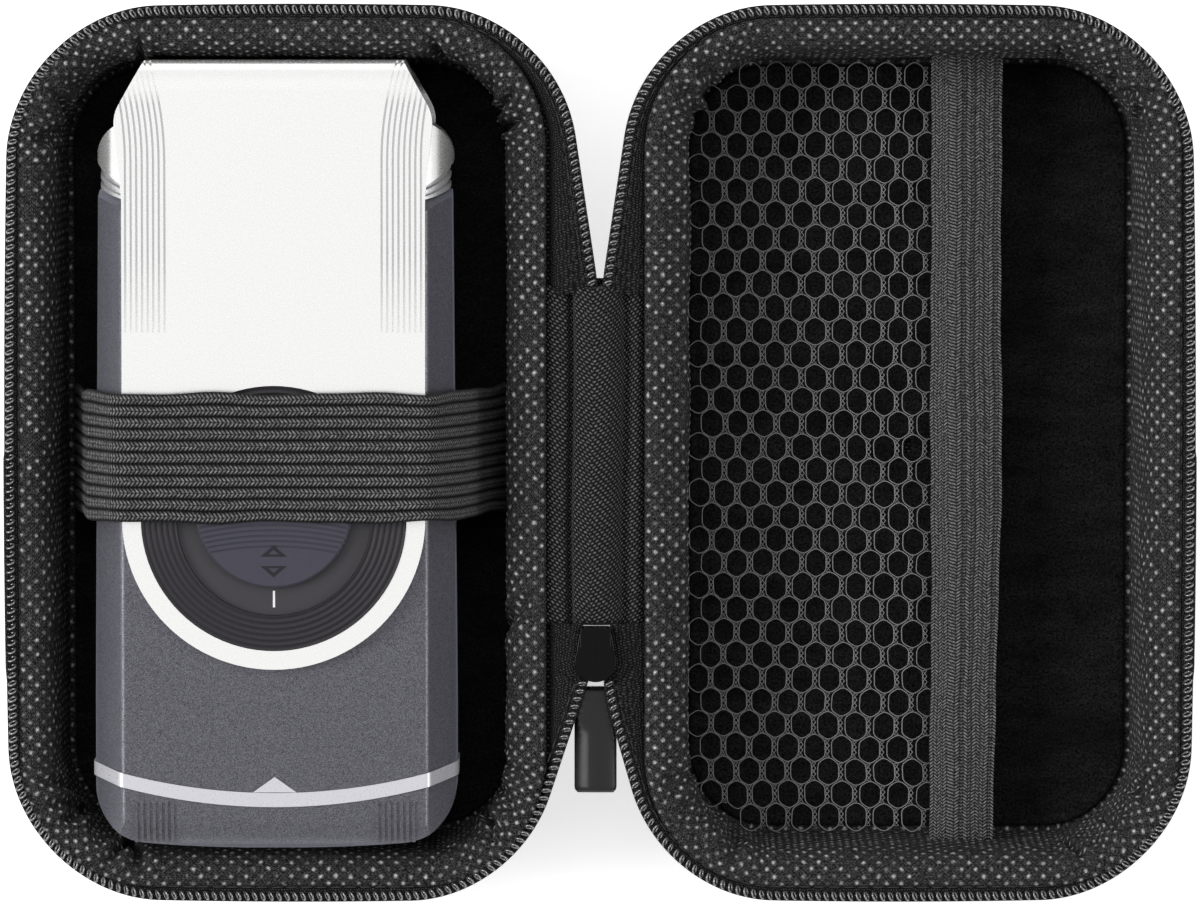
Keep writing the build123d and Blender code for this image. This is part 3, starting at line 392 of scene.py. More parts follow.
def lining_material():
    """Dark knit with a painted highlight on the dot at each raised point, no two dots equally bright."""
    material, tree = new_material("dimpled_knit", Specular_IOR_Level=0.08)
    surface = place(tree, "UV")
    loose = vector_maths("ADD", surface, jitter(place(tree), 500.0, DOT_JITTER_MM * MM))
    dots = use_group(tree, DOTS, Vector=loose, Pitch=DIMPLE_PITCH_MM * MM, Sharpness=3.8)
    stitches = use_group(tree, WEBBING, Vector=surface, Stitch=0.62 * MM, Column=0.36 * MM)
    fibre = mottle(tree, 3000.0, 2.0)
    # The dots' brightness, and its spread from dot to dot, is a painted highlight; only their lower
    # roughness is real.
    sparkle = maths("MULTIPLY_ADD", mottle(tree, 420.0, 1.0), 1.7, -0.2, clamp=True)
    threads = shade((stitches * 0.75 + 0.25) * fibre ** 1.5, linear(2), linear(112))
    painted_glint = maths("MULTIPLY", dots, sparkle * (fibre * 0.9 + 0.4), clamp=True)
    return finish(
        material, shade(painted_glint, threads, linear(222)), painted_glint * -0.3 + 0.66, stitches, KNIT_RELIEF_MM,
    )


def velour_material():
    """Short black pile, brushed unevenly."""
    material, tree = new_material(
        "black_velour", Roughness=0.95, Sheen_Weight=0.05, Sheen_Roughness=0.35, Specular_IOR_Level=0.0,
    )
    pile = mottle(tree, 2900.0, 2.0)
    brushed = add_node(tree, "ShaderNodeMapping", {"Vector": place(tree), "Scale": (1.0, 2.6, 1.0)})
    tone = maths("MULTIPLY", pile, mottle(tree, 120.0, 4.0, brushed) * 0.8 + 0.4, clamp=True)
    return finish(material, shade(tone, linear(6), linear(44)), None, pile, PILE_RELIEF_MM)


def webbing_material(name, dark, light, stitch_mm, column_mm, rib_mm, flat_mm=0.0):
    """Knitted elastic, with painted shade in its grooves from flat_mm on and along the line at flat_mm. The
    ribs themselves are in the mesh.
    """
    material, tree = new_material(name, Roughness=0.65, Specular_IOR_Level=0.08, Sheen_Weight=0.04)
    surface = place(tree, "UV")
    knit = use_group(tree, WEBBING, Vector=surface, Stitch=stitch_mm * MM, Column=column_mm * MM)
    from_seam = xyz(surface)[1] - flat_mm * MM
    ribs = abs(maths("SINE", from_seam * (pi / (rib_mm * MM)))) ** 1.3
    flat = maths("LESS_THAN", from_seam, 0.0)
    # The grooves between the ribs, and the line at flat_mm, are darkened in the colour: painted shade.
    painted_rib_shade = maths("MAXIMUM", ribs, flat) * ramp(abs(from_seam), SEAM_SHADE_MM)
    fuzzy = mottle(tree, 2800.0, 2.0) * 1.5 + 0.1
    tone = maths("MULTIPLY", knit * fuzzy, painted_rib_shade, clamp=True)
    return finish(material, shade(tone, linear(dark), linear(light)), None, knit, WEBBING_RELIEF_MM)


strap_low, strap_high = box_mm("retaining_strap")
STRAP_RIBS = 11
STRAP_RIB_PITCH_MM = (strap_high.y - strap_low.y) / STRAP_RIBS
BAND_SEAM_MM = 3.3
BAND_RIB_MM = 1.66
spine_cloth = woven_material("oxford_weave", 0.8, 0.54, 1, 114, 0.3, crest_mm=SPINE_CREST_MM, lean=0.42)
tape_cloth = woven_material("zip_tape_weave", 0.42, 0.34, 2, 76, 0.6)
outer_cloth = woven_material("shell_weave", 0.9, 0.6, 8, 88, 0.2, wrap=True)
lining_knit = lining_material()
velour = velour_material()
strap_knit = webbing_material("strap_elastic", 2, 150, 0.64, STRAP_RIB_PITCH_MM / 2, STRAP_RIB_PITCH_MM)
band_knit = webbing_material("band_elastic", 2, 138, 0.52, 0.5, BAND_RIB_MM, BAND_SEAM_MM)
print("cloths ready")


# %% [markdown]
# The hard finishes are simpler, but none is flat. Moulded plastic has a faint grain, the silver parts a
# finer one under gloss, and the body's paint a dense sparkle that gives it its grey-blue look.


# %% Hard materials
GRAIN_RELIEF_MM = 0.001
SILVER_DIP = 0.975
SILVER_GLOSS = (linear(240, 240, 239), 0.25, 3000.0, 0.4, 0.75, SILVER_DIP)


def plastic(name, colour, roughness, grain_scale=900.0, specular=0.3, metallic=0.0, dip=0.88):
    """Moulded plastic, lacquered or not, with a faint grain in its tone and surface."""
    material, tree = new_material(name, Specular_IOR_Level=specular, Metallic=metallic)
    grain = mottle(tree, grain_scale)
    tone = shade(grain, darker(colour, dip), colour)
    return finish(material, tone, grain * 0.1 + (roughness - 0.05), grain, GRAIN_RELIEF_MM)


def metal(name, colour, roughness):
    """Bare metal with fine rubbed variation."""
    material, tree = new_material(name, Metallic=1.0)
    rub = mottle(tree, 1500.0)
    return finish(material, shade(rub, darker(colour, 0.8), colour), rub * 0.12 + roughness)


def flake_paint(name, dark, light, roughness):
    """Metallic paint: dense fine flakes, each a little lighter or darker."""
    material, tree = new_material(
        name, Specular_IOR_Level=0.5, Metallic=0.3, Sheen_Weight=0.4, Sheen_Roughness=0.5,
        Sheen_Tint=(0.8, 0.84, 1.0, 1.0),
    )
    cells = {"Vector": place(tree), "Scale": 9500.0}
    flakes = add_node(tree, "ShaderNodeTexVoronoi", cells, "Color", feature="F1")
    sparkle = add_node(tree, "ShaderNodeSeparateColor", {0: flakes})
    tone = shade(sparkle, dark, light)
    return finish(material, tone, sparkle * -0.12 + roughness, sparkle, GRAIN_RELIEF_MM)


body_paint = flake_paint("flake_paint", linear(36, 35, 40), linear(108, 107, 116), 0.42)
silver_paint = plastic("silver_gloss", *SILVER_GLOSS)
trim_silver = plastic("trim_silver", linear(206, 205, 211), 0.3, 3000.0, 0.3, 0.3, SILVER_DIP)
collar_silver = plastic("collar_silver", linear(208, 208, 210), 0.3, 3000.0, 0.3, 0.5)
dial_plastic = plastic("dial_plastic", linear(56, 54, 58), 0.4, 2200.0)
switch_plastic = plastic("switch_plastic", linear(62, 61, 72), 0.4, 2600.0)
mark_white = plastic("mark_white", linear(240), 0.4)
sign_dark = plastic("sign_dark", linear(24, 24, 30), 0.4)
coil_nylon = plastic("coil_nylon", linear(126), 0.14, 2500.0, 0.9, 0.62)
thread_grey = plastic("thread_grey", linear(60), 0.6, 4000.0, 0.1)
net_thread = plastic("net_thread", linear(134), 0.5, 4000.0, 0.1)
slider_black = plastic("slider_lacquer", linear(6), 0.2, 1200.0, 0.1)
tab_plastic = plastic("tab_rubber", linear(20), 0.36, 1800.0, 0.3)
board_green = plastic("board_lacquer", linear(28, 84, 52), 0.35)
bright_metal = metal("bright_metal", linear(232), 0.18)
foil_metal = metal("foil_metal", linear(206), 0.25)
inner_metal = metal("inner_metal", linear(150), 0.4)
print("hard finishes ready")

# %% [markdown]
# The cap's side grooves are only a third of a millimetre deep, so under soft light they hardly show. On the
# real cap they read as grey lines, the shade in the grooves. A mask of depth below the cap's face, kept to
# the two ribbed strips, paints that shade into the silver's colour in the grooves alone.

# %% Silver with painted shade in the grooves
cap_low, cap_high = box_mm("twist_cap")
shaver_x = (cap_low.x + cap_high.x) / 2
GROOVED_FROM_MM = 16.4
GROOVED_LENGTH_MM = 42.5
GROOVE_SKIN_MM = 0.08
GROOVE_FADE_MM = 0.18
CAP_EDGE_MM = 4.6
FOOT_FADE_MM = 12
EDGE_FADE_MM = 2


def groove_shade_mask(tree):
    """Where shade is painted: 1 in the grooves of the cap's ribbed strips, and 0 on its face."""
    x, y, z = xyz(place(tree))
    deep = ramp((cap_high.z - GROOVE_SKIN_MM) * MM - z, GROOVE_FADE_MM)
    outside = maths("GREATER_THAN", abs(x - shaver_x * MM), GROOVED_FROM_MM * MM)
    above = ramp(y - (cap_high.y - GROOVED_LENGTH_MM) * MM, FOOT_FADE_MM)
    below = ramp((cap_high.y - CAP_EDGE_MM) * MM - y, EDGE_FADE_MM)
    return deep * outside * (above * below)


cap_silver = plastic("cap_silver", *SILVER_GLOSS)
plain = Value(sockets_of(cap_silver)["Base Color"].links[0].from_socket)
# The grey in the grooves is painted shade, not a colour of the silver itself.
finish(cap_silver, shade(groove_shade_mask(cap_silver.node_tree), plain, linear(196, 196, 198)))
print("cap grooves start", GROOVED_FROM_MM, "mm from the middle")

# %% [markdown]
# The hard pieces are already right in the frame, so each keeps its mesh and takes a finish. Assigning a
# material to the object's slots is enough; nothing about the piece moves.


# %% Finish the hard pieces
NODE_FINISHES = {
    body_paint: ["shaver_front_housing", "shaver_rear_housing", "battery_cover"],
    cap_silver: ["twist_cap"],
    silver_paint: ["head_frame"],
    trim_silver: ["trim_band", "trim_pointer"],
    collar_silver: ["head_collar", "foil_frame"],
    dial_plastic: ["dial_ring", "index_ring"],
    switch_plastic: ["slide_switch", "switch_stem"],
    slider_black: ["zip_slider"],
    tab_plastic: ["pull_tab"],
    bright_metal: ["pull_link"],
    foil_metal: ["shaving_foil", "cutter_block"],
    inner_metal: ["battery_cells", "cell_contacts", "drive_motor"],
    board_green: ["circuit_board"],
    outer_cloth: ["base_shell", "lid_shell"],
}
for material, names in NODE_FINISHES.items():
    for name in names:
        mesh = nodes[name].data
        mesh.materials.clear()
        mesh.materials.append(material)
print("finished", sum(len(names) for names in NODE_FINISHES.values()), "hard pieces")


# %% [markdown]
# The case follows two outlines. One is the shell's rim, a rounded rectangle. The other is the zip, which
# flares out past the rim, bows a little on every side, and leans in to the hinge at both ends of the
# spine. Both are polygons with rounded corners, so one function makes them.


# %% Outlines of the case
FINE_STEP_MM = 0.1


def unit(vectors):
    """Vectors at a length of 1."""
    return vectors / np.linalg.norm(vectors, axis=-1, keepdims=True)


def lengths_along(points):
    """Length along a polyline to each of its points."""
    return np.concatenate([[0], np.cumsum(np.linalg.norm(np.diff(points, axis=0), axis=1))])


def rounded_path(corners, closed=True):
    """Dense points along a polygon whose (x, y, radius) corners, in millimetres, are rounded."""
    count = len(corners)
    runs = []
    for index, (x, y, radius) in enumerate(corners):
        here = np.array((x, y))
        if not closed and index in (0, count - 1):
            runs.append(here[None])
            continue
        before = unit(np.array(corners[index - 1][:2]) - here)
        after = unit(np.array(corners[(index + 1) % count][:2]) - here)
        middle = unit(before + after)
        half = np.arccos(np.clip(before @ after, -1, 1)) / 2
        sweep = pi / 2 - half
        turn = np.linspace(-sweep, sweep, max(4, int(2 * sweep * radius / FINE_STEP_MM)))[:, None]
        side = np.sign(before[0] * after[1] - before[1] * after[0])
        bend = side * middle[::-1] * (-1, 1) * np.sin(turn) - middle * np.cos(turn)
        runs.append(here + radius * (middle / sin(half) + bend))
    points = np.vstack(runs)
    return np.vstack([points, points[:1]]) if closed else points


def evenly(points, step_mm=None, count=None):
    """Points spaced evenly by length along a polyline, with the length at each."""
    lengths = lengths_along(points)
    count = count or max(2, int(round(lengths[-1] / step_mm)))
    closed = np.allclose(points[0], points[-1])
    places = np.linspace(0, lengths[-1], count, endpoint=not closed)
    return np.stack([np.interp(places, lengths, axis) for axis in points.T], axis=1), places


def outward(points):
    """Unit normals that point out of a closed outline drawn anticlockwise."""
    along = unit(np.roll(points, -1, axis=0) - np.roll(points, 1, axis=0))
    return along[:, ::-1] * (1, -1)


def rounded_box(low, high, radius, count):
    """Points round a box seen from above, anticlockwise, with their outward normals and lengths."""
    sides = ((high.x, low.y), (high.x, high.y), (low.x, high.y), (low.x, low.y))
    points, lengths = evenly(rounded_path([(x, y, radius) for x, y in sides]), count=count)
    return points, outward(points), lengths


shell_low, shell_high = box_mm("base_shell")
coil_low, coil_high = box_mm("base_zip_coil")
spine_end = box_mm("spine_inner")[1].y
slider_low, slider_high = box_mm("zip_slider")
rim_z = shell_high.z
SHELL_CORNER_MM = 20.0
ZIP_CORNER_MM = 23.0
ZIP_WAIST_MM = 40.0
ZIP_BOW_MM = 1.2
HINGE_SIDE_MM = -10.0
TOP_LEAN = 0.15
BOTTOM_BEND_MM = {"base": 31.2, "lid": 36.5}
BOTTOM_LEAN = {"base": 0.34, "lid": 0.29}


def bowed(points):
    """The zip line with its sides bowed out in the middle."""
    centre = (coil_low.x + coil_high.x) / 2
    share_y = np.clip(points[:, 1] / coil_high.y, -1, 1)
    share_x = np.clip((points[:, 0] - centre) / (coil_high.x - centre), -1, 1)
    on_end = np.clip((np.abs(points[:, 1]) - spine_end) / (coil_high.y - spine_end), 0, 1) ** 4
    on_far = np.clip(-share_x, 0, 1) ** 4
    out_x = -ZIP_BOW_MM * (1 - share_y**2) * on_far
    out_y = np.sign(points[:, 1]) * ZIP_BOW_MM * (1 - share_x**2) * on_end
    return points + np.column_stack([out_x, out_y])


def zip_line(inset, half, low_end, high_end):
    """Open zip line of a half, drawn on the left, that leaves out the hinge between its two ends."""
    near = coil_high.x - inset
    far = coil_low.x + ZIP_BOW_MM + inset
    side = coil_high.y - ZIP_BOW_MM - inset
    bend = BOTTOM_BEND_MM[half]
    foot = near - (side - bend) * BOTTOM_LEAN[half]
    corner = ZIP_CORNER_MM - inset
    path = rounded_path([
        (near, spine_end, ZIP_WAIST_MM), (near - (side - spine_end) * TOP_LEAN, side, corner),
        (far, side, corner), (far, -side, corner), (foot, -side, corner), (near, -bend, ZIP_WAIST_MM),
    ])
    outline = bowed(evenly(path, step_mm=FINE_STEP_MM)[0])
    x, y = outline.T
    hidden = (x > HINGE_SIDE_MM) & (y > low_end) & (y < high_end)
    first = np.flatnonzero(hidden & ~np.roll(hidden, -1))[0] + 1
    return np.roll(outline, -first, axis=0)[:np.count_nonzero(~hidden)]


print("rim", round(shell_high.x - shell_low.x, 1), "by", round(shell_high.y - shell_low.y, 1), "mm")

# %% [markdown]
# Most soft pieces are a skin of quads stretched over rows of points: walls, strips and rolls. Points are
# kept in millimetres until the mesh is made. Each skin has a UV map in metres that follows the cloth, so
# that a weave runs along the piece and bends with it.


# %% Helpers for meshes
def make_piece(name, vertices_mm, faces, material, smooth=True):
    """New mesh object in the shared frame, with one material."""
    mesh = bpy.data.meshes.new(name)
    mesh.from_pydata((np.asarray(vertices_mm) * MM).tolist(), [], faces)
    mesh.materials.append(material)
    if smooth:
        mesh.shade_smooth()
    return in_scene(name, mesh)


def at_level(flat, level):
    """Points in the plane, lifted to one level or each to its own."""
    return np.column_stack([flat, np.broadcast_to(level, len(flat))])


def skin(name, rows, material, close_rows=False, close_columns=False, chart=None):
    """Quads between rows of points. The chart is the cloth's length along the columns and the rows."""
    rows = np.asarray(rows)
    count, width = rows.shape[:2]
    down, right = np.meshgrid(
        np.arange(count if close_rows else count - 1),
        np.arange(width if close_columns else width - 1), indexing="ij",
    )
    ring = [(down, right), (down, right + 1), (down + 1, right + 1), (down + 1, right)]
    quads = np.stack([(r % count) * width + c % width for r, c in ring], axis=-1).reshape(-1, 4)
    piece = make_piece(name, rows.reshape(-1, 3), quads.tolist(), material)
    if chart is not None:
        along, across = (np.asarray(lengths) * MM for lengths in chart)
        corners = np.stack([np.stack([along[c], across[r]], axis=-1) for r, c in ring], axis=2)
        layer = piece.data.uv_layers.new(name="cloth")
        layer.data.foreach_set("uv", corners.reshape(-1).astype(np.float32))
    return piece


def face_out(piece):
    """Turns a closed piece's faces outwards."""
    work = bmesh.new()
    work.from_mesh(piece.data)
    bmesh.ops.recalc_face_normals(work, faces=work.faces)
    work.to_mesh(piece.data)
    work.free()
    return piece


def baked(piece):
    """Plain mesh object in place of a piece with modifiers, Geometry Nodes among them."""
    evaluated = piece.evaluated_get(bpy.context.evaluated_depsgraph_get())
    mesh = bpy.data.meshes.new_from_object(evaluated)
    name = mesh.name = piece.name
    bpy.data.objects.remove(piece)
    return in_scene(name, mesh)


def thickened(piece, thickness_mm, offset=-1.0):
    """Gives a skin its thickness, closes its edges and turns its faces outwards."""
    wall = piece.modifiers.new("thickness", "SOLIDIFY")
    wall.thickness = thickness_mm * MM
    wall.offset = offset
    wall.use_even_offset = False
    return face_out(baked(piece))


def for_half(piece, half):
    """Mirrors a piece drawn on the left if it is the lid's, with its faces still outwards."""
    if half == "lid":
        mesh = piece.data
        places = np.zeros(len(mesh.vertices) * 3, np.float32)
        mesh.vertices.foreach_get("co", places)
        places[::3] *= -1
        mesh.vertices.foreach_set("co", places)
        mesh.flip_normals()
        mesh.update()
    return piece


def put(piece, body, slot, *stands_for):
    """Attaches a finished piece to the body that it moves with and hides the nodes that it stands for. Its
    slot is not used.
    """
    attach(piece, body)
    if stands_for:
        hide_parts(*stands_for)
    return piece


def eased(points, step_mm):
    """Smooth curve through a few points, spaced evenly."""
    points = np.asarray(points, float)
    padded = np.vstack([2 * points[0] - points[1], points, 2 * points[-1] - points[-2]])
    t = np.linspace(0, 1, 24, endpoint=False)[:, None]
    spans = [
        0.5 * (2 * b + (c - a) * t + (2 * a - 5 * b + 4 * c - d) * t**2 + (3 * b - a - 3 * c + d) * t**3)
        for a, b, c, d in zip(padded[:-3], padded[1:-2], padded[2:-1], padded[3:])
    ]
    return evenly(np.vstack(spans + [points[-1:]]), step_mm=step_mm)[0]


def ripples(along, across, lengths_mm, seed):
    """Gentle unevenness: a few crossing waves with seeded directions, about 1 high."""
    random = np.random.default_rng(seed)
    total = 0
    for length in lengths_mm:
        angle, phase = random.uniform(0, 2 * pi, 2)
        total = total + np.sin(2 * pi * (along * cos(angle) + across * sin(angle)) / length + phase)
    return total / len(lengths_mm)


def faded(value, low, rise, high, fall):
    """1 well inside two limits, and 0 outside them."""
    return np.clip((value - low) / rise, 0, 1) * np.clip((high - value) / fall, 0, 1)


# %% [markdown]
# The knit lining is glued into the shell over thin foam. It starts at the zip, rolls over the rim as a
# puffy lip, runs down the wall and ends under the floor panel. Its dots are real bumps in a staggered
# lattice, on a mesh fine enough to hold them, and the corners carry the small pleats that a knit makes
# when it is pulled round a curve.

# %% Lining
LINING_COLUMNS = 1024
LINING_ROW_MM = 0.4
DIMPLE_RISE_MM = 0.2
FOAM_WAVE_MM = 0.28
PLEAT_DEPTH_MM = 1.3
PLEAT_LIP = 0.4
PLEATS_A_CORNER = 5
CRUMPLE_MM = 0.55
PLEATED_FROM_MM, PLEATED_TO_MM = 1.2, 24
PLEAT_TURN_MM = 6
FACE_PROFILE = [
    (-0.6, 26.35), (-0.4, 27.0), (0.7, 27.45), (2.4, 27.1), (4.1, 25.5), (5.0, 22.8), (5.25, 19.5),
    (5.35, 14.0), (5.6, 8.0), (5.8, 5.0), (6.3, 3.75), (9.0, 3.6),
]
BACK_PROFILE = [(9.0, 3.12), (5.4, 3.15), (4.4, 12.0), (3.3, 23.9), (1.4, 24.6), (-0.2, 25.6)]
HINGE_LEVELS_MM = [0, 8, 19, 24, 26.6]
HINGE_SHIFT_MM = {"base": [0.9, 0.9, 2.0, 2.4, 1.8], "lid": [0.4, 0.4, 1.4, 1.6, 0.3]}
CREASES = {"base": [(-24.5, 1.0, 1.5, -0.5), (-20.0, 0.5, 1.2, -0.6)], "lid": []}


def folds(half, points, normals, lengths, seed):
    """Seeded pleats at the corners and the creases by the hinge, as (middle, depth, width, skew)."""
    random = np.random.default_rng(seed)
    made = []
    for target in ((1, 1), (-1, 1), (-1, -1), (1, -1)):
        middle = lengths[np.argmax(normals @ np.array(target))]
        for share in random.uniform(-0.5, 0.5, PLEATS_A_CORNER):
            depth = PLEAT_DEPTH_MM * random.uniform(0.3, 1.0)
            centre = middle + share * pi / 2 * SHELL_CORNER_MM
            made.append((centre, depth, random.uniform(0.7, 1.3), random.uniform(-0.4, 0.4)))
    for y, *shape in CREASES[half]:
        away = np.linalg.norm(points - (shell_high.x, y), axis=1)
        made.append((lengths[np.argmin(away)], *shape))
    return made


def lining(half, seed):
    """A half's lining, drawn on the left: its profile run round the rim, then lifted at each point."""
    points, normals, lengths = rounded_box(shell_low, shell_high, SHELL_CORNER_MM, LINING_COLUMNS)
    total = 2 * lengths[-1] - lengths[-2]
    stretch = round(total / DIMPLE_PITCH_MM) * DIMPLE_PITCH_MM / total
    along = np.append(lengths, total) * stretch
    face = eased(FACE_PROFILE, LINING_ROW_MM)
    profile = np.vstack([face, BACK_PROFILE])
    down = lengths_along(profile)
    towards = unit(np.gradient(profile, axis=0))[:, ::-1] * (-1, 1)
    shown = faded(down, 0.6, 1.5, down[len(face) - 1] - 6, 3)
    shown[len(face):] = 0
    u, v = np.meshgrid(along[:-1], down)
    lattice = [0.5 + 0.5 * np.cos(2 * pi * (u + side * v) / DIMPLE_PITCH_MM) for side in (1, -1)]
    lift = DIMPLE_RISE_MM * (lattice[0] * lattice[1] - 0.25)
    lift += FOAM_WAVE_MM * ripples(u, v, (34, 21, 13, 9), seed)
    reach = faded(v, PLEATED_FROM_MM, 4, PLEATED_TO_MM, 9)
    rounding = 2 * np.abs(normals[:, 0] * normals[:, 1])
    lift += CRUMPLE_MM * reach * rounding * ripples(u, v, (8.5, 5.7, 4.1, 2.9), seed + 5)
    for centre, depth, width, skew in folds(half, points, normals, lengths, seed + 1):
        away = u - centre * stretch - skew * (v - PLEAT_TURN_MM)
        lift -= depth * reach * np.exp(-(away / width) ** 2)
        lift += PLEAT_LIP * depth * reach * np.exp(-((np.abs(away) - 2.2 * width) / width) ** 2)
    lift *= shown[:, None]
    hinge_side = np.clip(normals[:, 0], 0, 1) ** 2
    shift = np.interp(profile[:, 1], HINGE_LEVELS_MM, HINGE_SHIFT_MM[half])
    inset = profile[:, :1] + shift[:, None] * hinge_side + towards[:, :1] * lift
    rows = np.empty((len(profile), LINING_COLUMNS, 3))
    rows[..., :2] = points - normals * inset[..., None]
    rows[..., 2] = profile[:, 1:] + towards[:, 1:] * lift
    return for_half(face_out(skin(
        half + "_lining_knit", rows, lining_knit, close_rows=True, close_columns=True,
        chart=(along, np.append(down, down[-1] + 1.0)),
    )), half)


for half, seed in (("base", 11), ("lid", 23)):
    knit = put(lining(half, seed), half, "knit_lining", half + "_lining")
print("lining has", len(knit.data.polygons), "faces a side")

# %% [markdown]
# The zip tape is a narrow woven band that stands on the rim and leans out to the coil. Each of its
# columns joins a point of the zip line to the nearest point of the rim, which keeps the weave square to
# the edge all the way round. At the parked slider it runs in between the slider's two plates.

# %% Zip tape
TAPE_STEP_MM = 0.7
TAPE_THICKNESS_MM = 0.4
TAPE_FOOT_INSET_MM = 0.3
TAPE_UNDER_SPINE_MM = 1.4
TAPE_TUCK_MM = {"base": 0.5, "lid": 0.15}
TAPE_PROFILE = [(0, 0.05), (0, 1.2), (0.1, 2.0), (0.35, 2.5), (0.7, 2.75), (1, 2.8)]
TAPE_HEIGHT_MM = TAPE_PROFILE[-1][1]
SLIDER_GAP_MM = 0.4
SLIDER_RAMP_MM = 2
NECK_HALF_MM = 2.45
FOOT_RADIUS_MM = 3.3
coil_middle_z = (coil_low.z + coil_high.z) / 2
slider_middle = (slider_low.x + slider_high.x) / 2
foot_y = slider_low.y + FOOT_RADIUS_MM


def plate_half_width(y):
    """Half the width of the slider's plates, a round foot that narrows to the neck."""
    above = np.interp(y, [foot_y, slider_high.y], [FOOT_RADIUS_MM, NECK_HALF_MM])
    below = np.sqrt(np.clip(FOOT_RADIUS_MM**2 - (y - foot_y) ** 2, 0, None))
    return np.where(y > foot_y, above, below)


def zip_tape(half):
    """Woven tape between the rim and the coil, that runs into the slider between its flanges."""
    line = zip_line(0, half, slider_high.y + SLIDER_GAP_MM, spine_end - TAPE_UNDER_SPINE_MM)
    top, along = evenly(line, step_mm=TAPE_STEP_MM)
    y = top[:, 1]
    beside = (y > slider_low.y - SLIDER_GAP_MM) & (y < 0)
    middle = slider_middle if half == "base" else -slider_middle
    tucked = middle - plate_half_width(y[beside]) + TAPE_TUCK_MM[half]
    top[beside, 0] = np.minimum(top[beside, 0], tucked)
    risen = np.where(beside, np.clip((y - slider_low.y) / SLIDER_RAMP_MM, 0, 1), 0)
    raised = (coil_middle_z - rim_z - TAPE_HEIGHT_MM) * risen
    rim, normals, _ = rounded_box(shell_low, shell_high, SHELL_CORNER_MM, 4000)
    rim = rim - normals * TAPE_FOOT_INSET_MM
    nearest = rim[[np.argmin(np.linalg.norm(rim - point, axis=1)) for point in top]]
    rows = [
        at_level(nearest + share * (top - nearest), rim_z + height + raised * share**3)
        for share, height in TAPE_PROFILE
    ]
    strip = skin(half + "_zip_tape_cloth", rows, tape_cloth, chart=(along, np.linspace(0, 5, len(rows))))
    return for_half(thickened(strip, TAPE_THICKNESS_MM, offset=0), half)


for half in ("base", "lid"):
    put(zip_tape(half), half, "zip_tape", half + "_zip_tape")

# %% [markdown]
# A coil zip is one nylon wire wound into hundreds of equal loops, sewn along the tape. That is what
# Geometry Nodes do best: points along the zip line at the coil's pitch, and on each point one small loop
# that leans over, so that from above it shows as a bright oval. The stitches are the same idea with a
# short thread in place of the loop, so both trees share one helper that puts copies along a path.


# %% Geometry Nodes for what repeats along a path
def placed(tree, points, item, **inputs):
    """One item on each of a set of points, made real."""
    inputs = {"Points": points, "Instance": item, **inputs}
    return add_node(tree, "GeometryNodeRealizeInstances", {
        0: add_node(tree, "GeometryNodeInstanceOnPoints", inputs),
    })


def painted(tree, geometry, material):
    """Smooth geometry in its material, which ends a tree."""
    smooth = add_node(tree, "GeometryNodeSetShadeSmooth", {0: geometry})
    return add_node(tree, "GeometryNodeSetMaterial", {"Geometry": smooth, "Material": material})


def transformed(geometry, **change):
    """Geometry moved, turned or scaled."""
    return add_node(geometry.tree, "GeometryNodeTransform", {"Geometry": geometry, **change})


def circle(tree, radius, steps):
    """Curve round a circle in a few straight steps."""
    inputs = {"Resolution": steps, "Radius": radius}
    return add_node(tree, "GeometryNodeCurvePrimitiveCircle", inputs)


def path_tree(name, values, make_item):
    """Tree that puts one item at each step of a curve, upright and facing along it."""
    inputs = {"Geometry": "Geometry", "Material": "Material", **floats("Pitch", *values)}
    tree, given, out = new_group(name, "GeometryNodeTree", inputs, "Geometry", "Geometry")
    route = {"Curve": given["Geometry"], "Length": given["Pitch"]}
    steps = add_node(tree, "GeometryNodeCurveToPoints", route, "Points", mode="LENGTH")
    facing = add_node(
        tree, "FunctionNodeAxesToRotation",
        {"Primary Axis": steps.output("Tangent"), "Secondary Axis": (0.0, 0.0, 1.0)},
        primary_axis="X", secondary_axis="Z",
    )
    copies = placed(tree, steps, make_item(tree, given), Rotation=facing)
    feed(out, painted(tree, copies, given["Material"]))
    return tree


def coil_item(tree, given):
    """One turn of the coil: a bent wire in an upright oval across the path."""
    half_width, half_height = ((given[side] - given["Wire"]) / 2 for side in ("Width", "Height"))
    oval = transformed(circle(tree, 1.0, 12), Scale=vector_of(half_height, half_width, 1.0))
    upright = transformed(oval, Rotation=(0.0, pi / 2, 0.0))
    wire = circle(tree, given["Wire"] / 2, 6)
    loop = add_node(tree, "GeometryNodeCurveToMesh", {"Curve": upright, "Profile Curve": wire})
    return transformed(loop, Rotation=vector_of(0.0, given["Lean"], given["Skew"]))


def stitch_item(tree, given):
    """One stitch: a short thread, rounded at both ends."""
    ball = add_node(
        tree, "GeometryNodeMeshUVSphere", {"Segments": 6, "Rings": 5, "Radius": 0.5}, "Mesh",
    )
    return transformed(ball, Scale=vector_of(given["Length"], given["Thread"], given["Thread"]))


COIL_TREE = path_tree("coil_loops", ("Width", "Height", "Wire", "Lean", "Skew"), coil_item)
STITCH_TREE = path_tree("stitches", ("Length", "Thread"), stitch_item)


def path_object(name, points_mm, closed=False):
    """Curve object through a list of points."""
    curve = bpy.data.curves.new(name, "CURVE")
    curve.dimensions = "3D"
    spline = curve.splines.new("POLY")
    spline.points.add(len(points_mm) - 1)
    flat = np.column_stack([np.asarray(points_mm) * MM, np.ones(len(points_mm))])
    spline.points.foreach_set("co", flat.ravel().astype(np.float32))
    spline.use_cyclic_u = closed
    return in_scene(name, curve)


